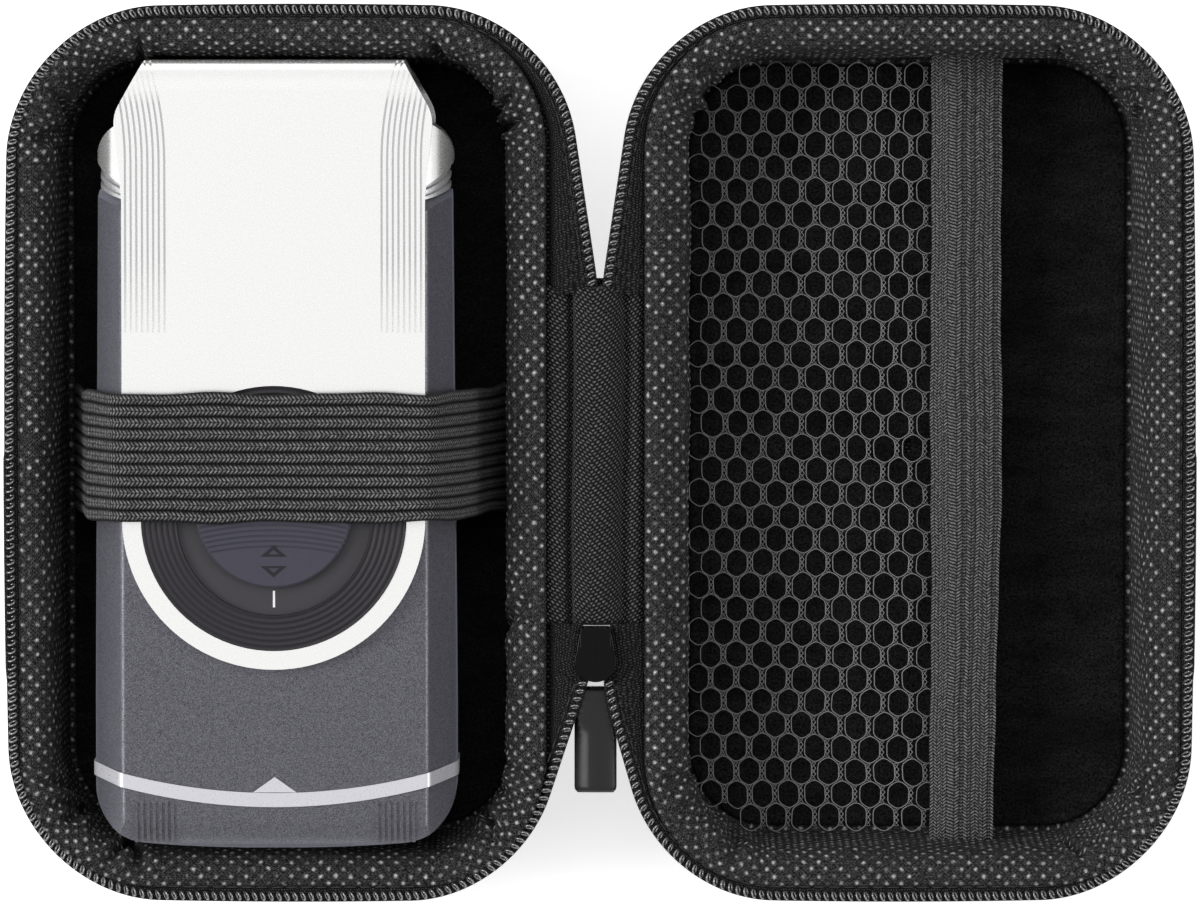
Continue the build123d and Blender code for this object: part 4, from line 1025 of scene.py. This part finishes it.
def zip_path(name, half, inset_mm, low_end, high_end, level):
    """Curve object along a half's zip line, at one level."""
    route, _ = evenly(zip_line(inset_mm, half, low_end, high_end), step_mm=1.0)
    return path_object(name, at_level(route * (-1, 1) if half == "lid" else route, level))


def grown(source, tree, **values):
    """Runs a Geometry Nodes tree on an object, and returns the plain mesh that it makes."""
    modifier = source.modifiers.new(tree.name, "NODES")
    modifier.node_group = tree
    for item in tree.interface.items_tree:
        if item.in_out == "INPUT" and item.name in values:
            modifier[item.identifier] = values[item.name]
    return baked(source)


COIL_PITCH_MM = 1.26
COIL_WIRE_MM = 0.34
COIL_LOOP_MM = 1.6
COIL_WIDTH_MM = 1.7
COIL_LEAN = radians(28)
COIL_SKEW = radians(24)


def zip_coil(half):
    """The coil's loops along a half's zip line."""
    path = zip_path(
        half + "_coil_loops", half, COIL_WIDTH_MM / 2, slider_low.y - SLIDER_GAP_MM,
        spine_end + SLIDER_GAP_MM, coil_middle_z,
    )
    return grown(
        path, COIL_TREE, Material=coil_nylon, Pitch=COIL_PITCH_MM * MM, Width=COIL_LOOP_MM * MM,
        Height=(coil_high.z - coil_low.z) * MM, Wire=COIL_WIRE_MM * MM, Lean=COIL_LEAN, Skew=COIL_SKEW,
    )


for half in ("base", "lid"):
    coil = put(zip_coil(half), half, "zip_coil", half + "_zip_coil")
print("coil has", len(coil.data.polygons), "faces a side")

# %% [markdown]
# Seen from inside the case, the slider shows its back plate: a neck that widens into a round foot, with a
# polished rim. The slider's body is already right in the frame, so this is only the crowned face that
# lies on it, a shallow dome whose rolled edge catches the light.

# %% Slider's crowned face
NECK_CORNER_MM = 0.9
CROWN_RIDGE_END_MM = 2
CROWN_PROFILE = [(0, -0.35), (0, 0), (0.05, 0.13), (0.18, 0.2), (0.4, 0.16), (0.7, 0.18)]


def arc(centre, radius, start, end, count):
    """Points along an arc, anticlockwise."""
    turn = np.linspace(start, end, count)
    return centre + radius * np.column_stack([np.cos(turn), np.sin(turn)])


def crown_outline():
    """Neck and round foot of the slider's plate, anticlockwise."""
    meeting = np.arccos(NECK_HALF_MM / FOOT_RADIUS_MM)
    foot = arc((slider_middle, foot_y), FOOT_RADIUS_MM, pi - meeting, 2 * pi + meeting, 60)
    reach = NECK_HALF_MM - NECK_CORNER_MM
    neck = [
        arc((slider_middle + side * reach, slider_high.y - NECK_CORNER_MM), NECK_CORNER_MM,
            start, start + pi / 2, 12) for side, start in ((1, 0), (-1, pi / 2))
    ]
    return evenly(np.vstack([foot, *neck, foot[:1]]), count=160)[0]


edge = crown_outline()
crown_normals = outward(edge)
rows = [at_level(edge - crown_normals * inset, slider_high.z + rise) for inset, rise in CROWN_PROFILE]
ridge = np.clip(edge, (slider_middle, foot_y), (slider_middle, slider_high.y - CROWN_RIDGE_END_MM))
inner_edge = rows[-1][:, :2]
for share in (0.75, 0.5, 0.25, 0.02):
    rows.append(at_level(ridge + share * (inner_edge - ridge), slider_high.z + CROWN_PROFILE[-1][1]))
crown = skin("slider_crown", rows[::-1], slider_black, close_columns=True)
put(face_out(crown), "slider", "slider_metal")
print("slider crown", len(crown.data.polygons), "faces")

# %% [markdown]
# The pull tab is a moulded grip. Its face is not flat: the left third slopes away, so a lamp on that side
# draws a lighter stripe down it. The face lies on the tab as a thin piece of its own.

# %% Tab's sloped face
TAB_SLOPE = [(0.1, -0.1), (0.14, 0.08), (2.15, 0.6), (2.3, 0.66), (6.1, 0.62), (6.4, 0.4), (6.5, -0.1)]
TAB_LEVEL = [(0.1, -0.1), (0.2, 0.4), (0.5, 0.62), (2.3, 0.66), (6.1, 0.62), (6.4, 0.4), (6.5, -0.1)]
TAB_FACE_TOP_MM = 0.1
TAB_SLOPE_FROM_MM = 4.5
TAB_SLOPE_RUN_MM = 2.5
TAB_CORNER_MM = 0.7
TAB_ROWS = 40
TAB_END_HEIGHT = 0.3
TAB_FACE_THICKNESS_MM = 0.1
tab_low, tab_high = box_mm("pull_tab")
tab_top = tab_high.y - TAB_FACE_TOP_MM
slope, level = np.array(TAB_SLOPE), np.array(TAB_LEVEL)
rows = []
for y in np.linspace(tab_low.y + 0.05, tab_top, TAB_ROWS):
    to_end = min(y - tab_low.y, tab_top - y, TAB_CORNER_MM)
    inset = TAB_CORNER_MM - sqrt(TAB_CORNER_MM**2 - (TAB_CORNER_MM - to_end) ** 2)
    sloped = np.clip((tab_high.y - TAB_SLOPE_FROM_MM - y) / TAB_SLOPE_RUN_MM, 0, 1)
    section = level + sloped * (slope - level)
    x = section[:, 0] + inset * np.sign(section[-1, 0] / 2 - section[:, 0])
    z = section[:, 1] * min(1, TAB_END_HEIGHT + to_end / TAB_CORNER_MM)
    rows.append(np.column_stack([tab_low.x + x, np.full(len(x), y), tab_high.z + z]))
tab_skin = skin("tab_face", rows, tab_plastic)
put(thickened(tab_skin, TAB_FACE_THICKNESS_MM, offset=0), "pull", "tab_plastic")
print("tab face is", round(tab_high.z + slope[:, 1].max() - tab_low.z, 2), "mm over the tab's back")

# %% [markdown]
# A thread runs beside the coil, where the tape, the lining and the shell are sewn together. It follows
# the zip line a little further in.

# %% Seam beside the coil
SEAM_INSET_MM = 2.05
SEAM_HEIGHT_MM = 2.85
SEAM_PITCH_MM = 2.3
SEAM_STITCH_MM = 2.1
SEAM_THREAD_MM = 0.26


def seam_stitches(half):
    """The stitches between the coil and the lining."""
    path = zip_path(
        half + "_seam_thread", half, SEAM_INSET_MM, slider_low.y - 1, spine_end + 1,
        rim_z + SEAM_HEIGHT_MM,
    )
    return grown(
        path, STITCH_TREE, Material=thread_grey, Pitch=SEAM_PITCH_MM * MM, Length=SEAM_STITCH_MM * MM,
        Thread=SEAM_THREAD_MM * MM,
    )


for half in ("base", "lid"):
    put(seam_stitches(half), half, "zip_tape")

# %% [markdown]
# Two strips of woven nylon join the halves, one inside and one outside. Between the lips the inner strip
# rises in a padded ridge with a deep fold beside it. Each is drawn as a cross-section and run along the
# hinge, the inner one's ends rounded down to a hem. The outer strip has a hollow where the pull folds in
# against it.

# %% Spine
SPINE_STEP_MM = 0.5
SPINE_SHARP_END_MM = 1.2
HEM_MM = 1.9
HEM_GROOVE = 0.35
HEM_GROOVE_MM = 0.35
SWAY_HALF_WIDTH_MM = 7
WAVE_HALF_WIDTH_MM = 8
INNER_SECTION = [
    (-9.2, 24.5), (-8.6, 25.4), (-7.4, 26.0), (-6.2, 26.0), (-5.2, 25.8), (-4.8, 24.7), (-4.4, 24.6),
    (-4.15, 25.6), (-3.75, 27.0), (-1.9, 28.0), (0.0, 28.25), (1.7, 27.7), (2.9, 26.5), (3.5, 25.2),
    (3.9, 24.8), (4.3, 25.2), (5.0, 25.9), (5.8, 26.0), (6.6, 25.5), (7.3, 24.6),
]
OUTER_TOP_MM = 27.4
outer_low, outer_high = box_mm("spine_outer")
OUTER_SECTION = [
    (outer_low.x, outer_low.z + 0.4), (-6.4, 21.6), (-4.0, 22.2), (0, 22.35), (4.0, 22.2), (6.4, 21.6),
    (outer_high.x, outer_low.z + 0.4),
]
PULL_AXIS_Y_MM, PULL_AXIS_Z_MM = -32.06, 25.1
PULL_FOLD = radians(15)
PULL_ROOM_MM = 0.55
ROOM_HALF_WIDTH_MM = 3.4
ROOM_FADE_MM = 1.2
SPINE_THICKNESS_MM = 0.4
SPINE_WAVE_MM = 0.12


def room_for_pull(x, y, z):
    """Height of the outer strip, hollowed where the pull folds in against it."""
    reach = (y - PULL_AXIS_Y_MM - sin(PULL_FOLD)) / cos(PULL_FOLD)
    level = PULL_AXIS_Z_MM + cos(PULL_FOLD) - reach * sin(PULL_FOLD) + PULL_ROOM_MM
    beside = np.clip((np.abs(x - slider_middle) - ROOM_HALF_WIDTH_MM) / ROOM_FADE_MM, 0, 1)
    return z + (1 - beside) * np.clip(level - z, 0, None)


def spine_strip(name, section, low_end, high_end, end_drop, sway, seed, outside=False):
    """Strip of cloth along the hinge, from its cross-section."""
    profile = eased(section, SPINE_STEP_MM)
    from_hinge, height = profile.T
    along = np.arange(low_end + 0.1, high_end, SPINE_STEP_MM)
    floor = min(level for _, level in section)
    rows = []
    for y in along:
        to_end = min(high_end - y, y - low_end)
        rounding = 1 - end_drop * (1 - min(1.0, to_end / SPINE_SHARP_END_MM)) ** 2
        rounding -= HEM_GROOVE * end_drop * np.exp(-((to_end - HEM_MM) / HEM_GROOVE_MM) ** 2)
        free = np.clip(1 - np.abs(from_hinge) / SWAY_HALF_WIDTH_MM, 0, 1)
        x = from_hinge + sway * sin(pi * y / spine_end) * free
        wave_here = SPINE_WAVE_MM * np.clip(WAVE_HALF_WIDTH_MM - np.abs(x), 0, 1)
        z = floor + (height - floor) * rounding + wave_here * ripples(y, from_hinge, (19, 11, 7), seed)
        if outside:
            z = room_for_pull(x, y, z)
        rows.append(np.column_stack([x, np.full(len(x), y), z]))
    strip = skin(name, rows, spine_cloth, chart=(lengths_along(profile), along - along[0]))
    return thickened(strip, SPINE_THICKNESS_MM)


INNER_BOTTOM_MM = slider_high.y
spine_inner_cloth = spine_strip(
    "spine_inner_cloth", INNER_SECTION, INNER_BOTTOM_MM, spine_end, end_drop=0.5, sway=0.45, seed=5,
)
spine_outer_cloth = spine_strip(
    "spine_outer_cloth", OUTER_SECTION, -spine_end, OUTER_TOP_MM, end_drop=0.0, sway=0.0, seed=6,
    outside=True,
)
INNER_CUT, OUTER_CUT = 0.0237, 0.0165
for cloth, node, cut in (
    (spine_inner_cloth, "spine_inner", (INNER_CUT, (spine_end - INNER_BOTTOM_MM) * MM)),
    (spine_outer_cloth, "spine_outer", (OUTER_CUT, (OUTER_TOP_MM + spine_end) * MM)),
):
    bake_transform(cloth)
    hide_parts(node)

# %% [markdown]
# The floors are thin boards covered in black velour, with a crisp edge where the cover is turned under.
# Rings of points run from the underside over the edge and in to the middle, with a slight unevenness
# that the pile picks up.

# %% Velour floors
pad_low, pad_high = box_mm("base_floor_pad")
FLOOR_COLUMNS = 480
FLOOR_RINGS = 60
FLOOR_CENTRE = 0.02
FLOOR_EDGE_MM = 2.0
PILE_WAVE_MM = 0.05
FLOOR_PROFILE = [(0.5, 0.0), (0.05, 0.15), (0.0, 0.5), (0.1, 0.8), (0.45, 0.98), (1.0, 1.0), (1.5, 0.93)]


def velour_floor(name, seed, half):
    """Board with a turned edge and an uneven pile."""
    corner = SHELL_CORNER_MM - (pad_low.x - shell_low.x)
    points, normals, _ = rounded_box(pad_low, pad_high, corner, FLOOR_COLUMNS)
    middle = np.array([(pad_low.x + pad_high.x) / 2, 0])
    bottom = pad_low.z + 0.02
    rows = [at_level(middle + FLOOR_CENTRE * (points - middle), pad_low.z)]
    for inset, level in FLOOR_PROFILE:
        rows.append(at_level(points - normals * inset, bottom + (pad_high.z - bottom) * level))
    inner = points - normals * FLOOR_EDGE_MM
    for share in np.linspace(1, FLOOR_CENTRE, FLOOR_RINGS):
        flat = middle + share * (inner - middle)
        height = PILE_WAVE_MM * ripples(*flat.T, (31, 17, 11), seed)
        rows.append(at_level(flat, pad_high.z - 0.1 + height))
    return for_half(face_out(skin(name, rows, velour, close_rows=True, close_columns=True)), half)


for name, half, node, seed in (
    ("base_velour_floor", "base", "base_floor_pad", 31),
    ("lid_velour_floor", "lid", "lid_floor_panel", 37),
):
    put(velour_floor(name, seed, half), half, "velour", node)

# %% [markdown]
# The strap and the pocket's edge are elastic webbing. Their cords make rows of ribs with narrow grooves
# between them, which the mesh carries; the slanted stitches on each rib are in the finish. One function
# gives the height of the ribs of both. The strap climbs over the shaver on a rounded route, and its edges
# are a little scalloped by the weft that turns back there.


# %% Elastic webbing
def ribbed(across, pitch_mm, depth_mm, flat_until=None):
    """Height of the ribs across a piece of webbing."""
    rise = depth_mm * (np.abs(np.sin(pi * across / pitch_mm)) ** 0.55 - 0.5)
    if flat_until is not None:
        rise = np.where(across < flat_until, 0.25 * rise, rise)
    return rise


body_low, body_high = box_mm("shaver_front_housing")
STRAP_THICKNESS_MM = 1.0
STRAP_RIB_MM = 0.42
STRAP_EASE_MM = 1.5
STRAP_BEND_MM = 4
STRAP_SAG_MM = 0.05
SCALLOPS = ((0.1, 0.86, 0), (0.18, 23, 1))
STRAP_SHOULDER_DROP_MM = 10.6
strap_half = (strap_high.y - strap_low.y) / 2
strap_top = strap_high.z - STRAP_RIB_MM / 2
strap_crown = (cap_high.x - cap_low.x) / 2
strap_side = (body_high.x - body_low.x) / 2 + STRAP_EASE_MM
strap_end = strap_low.z + STRAP_THICKNESS_MM
strap_shoulder = strap_top - STRAP_SHOULDER_DROP_MM
strap_route = [
    (strap_low.x, strap_end, 0),
    (shaver_x - strap_side, strap_shoulder, STRAP_BEND_MM),
    (shaver_x - strap_crown, strap_top, STRAP_BEND_MM),
    (shaver_x + strap_crown, strap_top, STRAP_BEND_MM),
    (shaver_x + strap_side, strap_shoulder, STRAP_BEND_MM),
    (strap_high.x, strap_end, 0),
]
route, strap_along = evenly(rounded_path(strap_route, closed=False), step_mm=0.8)
upward = unit(np.gradient(route, axis=0))[:, ::-1] * (-1, 1)
strap_across = np.linspace(0, 2 * strap_half, STRAP_RIBS * 10 + 1)
scallop = sum(depth * np.sin(2 * pi * strap_along / length + phase) for depth, length, phase in SCALLOPS)
rows = []
for offset in strap_across:
    height = ribbed(offset, STRAP_RIB_PITCH_MM, STRAP_RIB_MM) - STRAP_RIB_MM / 2
    height = height + STRAP_SAG_MM * ripples(strap_along, offset, (47, 29), 3)
    y = offset - strap_half + (offset / strap_half - 1) ** 3 * scallop
    flat = route + upward * height[:, None]
    rows.append(np.column_stack([flat[:, 0], y, flat[:, 1]]))
strap = skin("strap_webbing", rows, strap_knit, chart=(strap_along, strap_across))
strap = put(thickened(strap, STRAP_THICKNESS_MM), "base", "elastic", "retaining_strap")
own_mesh(strap)
print("strap is", round(strap_along[-1]), "mm long")

# %% [markdown]
# The net is knitted from doubled threads around six-sided holes. One rounded hexagon of thread, with a
# pair of threads that cross beside it, is repeated on a staggered lattice. Only the holes within the
# pocket's rounded border are kept. The tree then lifts the flat lattice to the pocket's slope and pushes
# it about a little, as a net never hangs quite even.


# %% Net pocket
def net_tree():
    """Lattice of thread loops, laid on the pocket's slope."""
    inputs = {
        "Geometry": "Geometry", "Material": "Material", "Ring": "Object", "Cross": "Object",
        **floats("Corner", "Thread", "SlopeStart", "SlopeEnd", "SlopeRise", "Wobble"),
    }
    tree, given, out = new_group("net_loops", "GeometryNodeTree", inputs, "Geometry", "Geometry")
    ring, cross = (
        add_node(tree, "GeometryNodeObjectInfo", {"Object": given[source]}, "Geometry")
        for source in ("Ring", "Cross")
    )
    bends = {"Curve": ring, "Radius": given["Corner"], "Count": 3}
    rounded = add_node(tree, "GeometryNodeFilletCurve", bends, mode="POLY")
    thread = circle(tree, given["Thread"] / 2, 4)
    joined = add_node(tree, "GeometryNodeJoinGeometry")
    for route in (rounded, cross):
        part = add_node(tree, "GeometryNodeCurveToMesh", {"Curve": route, "Profile Curve": thread})
        feed(joined.socket.node.inputs[0], part)
    real = placed(tree, given["Geometry"], joined)
    position = add_node(tree, "GeometryNodeInputPosition")
    start = given["SlopeStart"]
    share = maths("DIVIDE", xyz(position)[0] - start, given["SlopeEnd"] - start, clamp=True)
    lift = vector_of(0.0, 0.0, share * given["SlopeRise"])
    moved = vector_maths("ADD", lift, jitter(position, 90.0, given["Wobble"]))
    laid = add_node(tree, "GeometryNodeSetPosition", {"Geometry": real, "Offset": moved})
    feed(out, painted(tree, laid, given["Material"]))
    return tree


NET_FIRST_MM = 15.6
NET_PITCH_MM = 3.95
NET_SPREAD_MM = 0.035
NET_ROW_MM = 3.67
NET_THREAD_MM = 0.17
HOLE_HALF_WIDTH_MM = 1.64
HOLE_HALF_HEIGHT_MM = 2.4
HOLE_CORNER_MM = 1.1
HOLE_SHOULDER = 1.3 / HOLE_HALF_HEIGHT_MM
CROSS_LEVELS_MM = (1.35, 0.45, -0.45, -1.35)
NET_CORNER_MM = 10.0
NET_BORDER_MM = (1.6, 0.6)
NET_LIFT_MM = 0.5
NET_WOBBLE_MM = 1.0
SLOPE_MARGIN_MM, SLOPE_DROP_MM = 2.5, 0.8
NET_ROWS, NET_COLUMNS = range(-18, 19), range(-1, 12)
panel_high = box_mm("lid_floor_panel")[1]
net_low, net_high = box_mm("pocket_net")
band_low, band_high = box_mm("pocket_band")


def inside_net(x, y):
    """Whether a hole's centre lies within the pocket's border, which is rounded on the hinge side."""
    edge_x = max(net_low.x + NET_BORDER_MM[0] + NET_CORNER_MM - x, 0)
    edge_y = max(abs(y) - (panel_high.y - NET_BORDER_MM[1] - NET_CORNER_MM), 0)
    return edge_x**2 + edge_y**2 <= NET_CORNER_MM**2 and x < band_low.x + 1.0


hole = np.array([
    (0, 1), (-1, HOLE_SHOULDER), (-1, -HOLE_SHOULDER), (0, -1), (1, -HOLE_SHOULDER), (1, HOLE_SHOULDER),
]) * (HOLE_HALF_WIDTH_MM, HOLE_HALF_HEIGHT_MM)
bridge = NET_PITCH_MM - 2 * HOLE_HALF_WIDTH_MM
cross = [
    (HOLE_HALF_WIDTH_MM + bridge * (step % 2), way * y)
    for way in (1, -1) for step, y in enumerate(CROSS_LEVELS_MM)
]
ring_path = path_object("net_ring", at_level(hole, 0), closed=True)
cross_path = path_object("net_cross", at_level(cross, 0), closed=True)
centres = []
for row in NET_ROWS:
    for column in NET_COLUMNS:
        step = column + 0.5 * (row % 2)
        x = NET_FIRST_MM + step * NET_PITCH_MM + NET_SPREAD_MM * step * abs(step)
        if inside_net(x, row * NET_ROW_MM):
            centres.append((x, row * NET_ROW_MM, net_low.z + NET_LIFT_MM))
lattice = make_piece("pocket_net_threads", centres, [], net_thread, smooth=False)
net = grown(
    lattice, net_tree(), Material=net_thread, Ring=ring_path, Cross=cross_path,
    Corner=HOLE_CORNER_MM * MM, Thread=NET_THREAD_MM * MM, Wobble=NET_WOBBLE_MM * MM,
    SlopeStart=net_low.x * MM, SlopeEnd=(band_low.x - SLOPE_MARGIN_MM) * MM,
    SlopeRise=(net_high.z - net_low.z - SLOPE_DROP_MM) * MM,
)
for path in (ring_path, cross_path):
    bpy.data.objects.remove(path)
put(net, "lid", "net", "pocket_net")
print("net has", len(centres), "holes and", len(net.data.polygons), "faces")

# %% [markdown]
# The pocket's mouth is bound with a folded elastic: a flat herringbone part beside the net, a line of
# stitches, and a ribbed part that is free to stretch.

# %% Pocket band
BAND_THICKNESS_MM = 0.9
BAND_TAPER_MM = 1.3
BAND_RISE_MM = 0.3
BAND_WAVER_MM = 0.22
BAND_WAVE_MM = 0.12
BAND_SINK_MM = 0.2
SEAM_GROOVE_MM = 0.35
band_along = np.arange(0, band_high.y - band_low.y + 0.4, 0.8)
band_across = np.linspace(0, band_high.x - band_low.x, 90)
rows = []
y = band_low.y + band_along / band_along[-1] * (band_high.y - band_low.y)
for offset in band_across:
    narrowing = -BAND_TAPER_MM * (offset / band_across[-1]) ** 2 * np.clip(-y / band_high.y, 0, 1) ** 1.5
    waver = BAND_WAVER_MM * ripples(y, offset, (41, 23, 12), 8)
    height = ribbed(offset - BAND_SEAM_MM, BAND_RIB_MM, BAND_RISE_MM, flat_until=-0.1)
    height -= SEAM_GROOVE_MM * np.exp(-((offset - BAND_SEAM_MM) / SEAM_GROOVE_MM) ** 2)
    z = band_high.z - BAND_SINK_MM + height + BAND_WAVE_MM * ripples(y, offset, (33, 19), 9)
    rows.append(np.column_stack([band_low.x + offset + narrowing + waver, y, z]))
band = skin("band_webbing", rows, band_knit, chart=(band_along, band_across))
band = put(thickened(band, BAND_THICKNESS_MM), "lid", "elastic", "pocket_band")
BAND_STITCHES = {"Pitch": 3.7 * MM, "Length": 2.5 * MM, "Thread": 0.46 * MM}
seam_path = path_object("band_seam_thread", [
    (band_low.x + BAND_SEAM_MM, end, band_high.z - SEAM_GROOVE_MM)
    for end in (band_low.y + 2, band_high.y - 2)
])
seam = grown(seam_path, STITCH_TREE, Material=slider_black, **BAND_STITCHES)
put(seam, "lid", "elastic")

# %% [markdown]
# Two generic signs on the switch show the way that it slides, an outlined triangle each way, and a white
# line on the index ring marks the cap's setting. They are thin raised pieces on the surfaces that carry
# them.

# %% Signs on the shaver
switch_low, switch_high = box_mm("slide_switch")
index_low, index_high = box_mm("index_ring")
switch_y = (switch_low.y + switch_high.y) / 2
SIGN_HALF_WIDTH_MM = 2.05
SIGN_HEIGHT_MM = 1.75
SIGN_LINE_MM = 0.34
SIGN_RELIEF_MM = 0.06
SIGN_SUNK_MM = 0.02


def outlined_triangle(name, base_y, direction):
    """Thin raised outline of a triangle that points up or down the shaver."""
    corners = np.array([
        (-SIGN_HALF_WIDTH_MM, 0), (SIGN_HALF_WIDTH_MM, 0), (0, SIGN_HEIGHT_MM),
    ]) * (1, direction) + (shaver_x, base_y)
    middle = corners.mean(axis=0)
    inner = middle + (corners - middle) * (1 - 3 * SIGN_LINE_MM / SIGN_HEIGHT_MM)
    bottom, top = switch_high.z - SIGN_SUNK_MM, switch_high.z + SIGN_RELIEF_MM
    vertices = [(*point, z) for z in (bottom, top) for ring in (corners, inner) for point in ring]
    faces = []
    for a in range(3):
        b = (a + 1) % 3
        faces += [
            (6 + a, 6 + b, 9 + b, 9 + a), (a, b, 6 + b, 6 + a),
            (3 + b, 3 + a, 9 + a, 9 + b), (b, a, 3 + a, 3 + b),
        ]
    return face_out(make_piece(name, vertices, faces, sign_dark, smooth=False))


for name, drop_mm, direction in (("switch_sign_up", 7.35, 1), ("switch_sign_down", 8.8, -1)):
    put(outlined_triangle(name, switch_y - drop_mm, direction), "switch", "switch_plastic")

MARK_HALF_WIDTH_MM = 0.17
MARK_RELIEF_MM = 0.05
mark_top, mark_bottom = switch_low.y - 0.55, index_low.y + 1.2
mark_corners = [
    (shaver_x + side * MARK_HALF_WIDTH_MM, y, z)
    for z in (index_high.z - SIGN_SUNK_MM, index_high.z + MARK_RELIEF_MM)
    for side, y in ((-1, mark_bottom), (1, mark_bottom), (1, mark_top), (-1, mark_top))
]
mark_faces = [(3, 2, 1, 0), (4, 5, 6, 7), (0, 1, 5, 4), (1, 2, 6, 5), (2, 3, 7, 6), (3, 0, 4, 7)]
mark = make_piece("index_mark", mark_corners, mark_faces, mark_white, smooth=False)
put(mark, "shaver", "silver_plastic")

# %% [markdown]
# The set is a white floor with soft light from overhead, a little from the top of the picture. The floor
# stays white to the camera and to reflections by a plain glow that neither lights the case nor hides its
# soft shadow.

# %% Floor, light and world
FLOOR_HALF = 2.0
FLOOR_GLOW = 0.7
WORLD_LIGHT = 0.2


def in_view(tree):
    """1 for the camera and for reflections, and 0 for the light that falls on the set."""
    rays = add_node(tree, "ShaderNodeLightPath", output="Is Camera Ray")
    return maths("MAXIMUM", rays, rays.output("Is Glossy Ray"))


floor_mesh = bpy.data.meshes.new("floor")
floor_corners = [(x * FLOOR_HALF, y * FLOOR_HALF, 0) for x, y in ((-1, -1), (1, -1), (1, 1), (-1, 1))]
floor_mesh.from_pydata(floor_corners, [], [(0, 1, 2, 3)])
in_scene("floor", floor_mesh)
floor_white, floor_tree = new_material("floor_white", Roughness=0.9, Emission_Color=(1, 1, 1, 1))
finish(floor_white, linear(224))
feed(sockets_of(floor_white)["Emission Strength"], in_view(floor_tree) * FLOOR_GLOW)
floor_mesh.materials.append(floor_white)

world = bpy.data.worlds.new("studio")
bpy.context.scene.world = world
world.use_nodes = True
background = world.node_tree.nodes["Background"]
background.inputs["Color"].default_value = (1, 1, 1, 1)
feed(background.inputs["Strength"], maths("MAXIMUM", in_view(world.node_tree), WORLD_LIGHT))


def softbox(name, place_at, size, energy, mirrored_in_gloss=True):
    """Square area light aimed at the case."""
    data = bpy.data.lights.new(name, "AREA")
    data.size = size
    data.energy = energy
    lamp = in_scene(name, data)
    lamp.location = place_at
    lamp.rotation_euler = (-Vector(place_at)).to_track_quat("-Z", "Y").to_euler()
    lamp.visible_glossy = mirrored_in_gloss


softbox("key_light", (-0.15, 0.62, 1.15), 1.1, 7.2, mirrored_in_gloss=False)
softbox("left_light", (-1.0, 0.1, 0.8), 0.6, 11.0)
softbox("right_light", (0.9, -0.1, 0.7), 0.4, 3.6)
bpy.context.scene.view_settings.view_transform = "Standard"
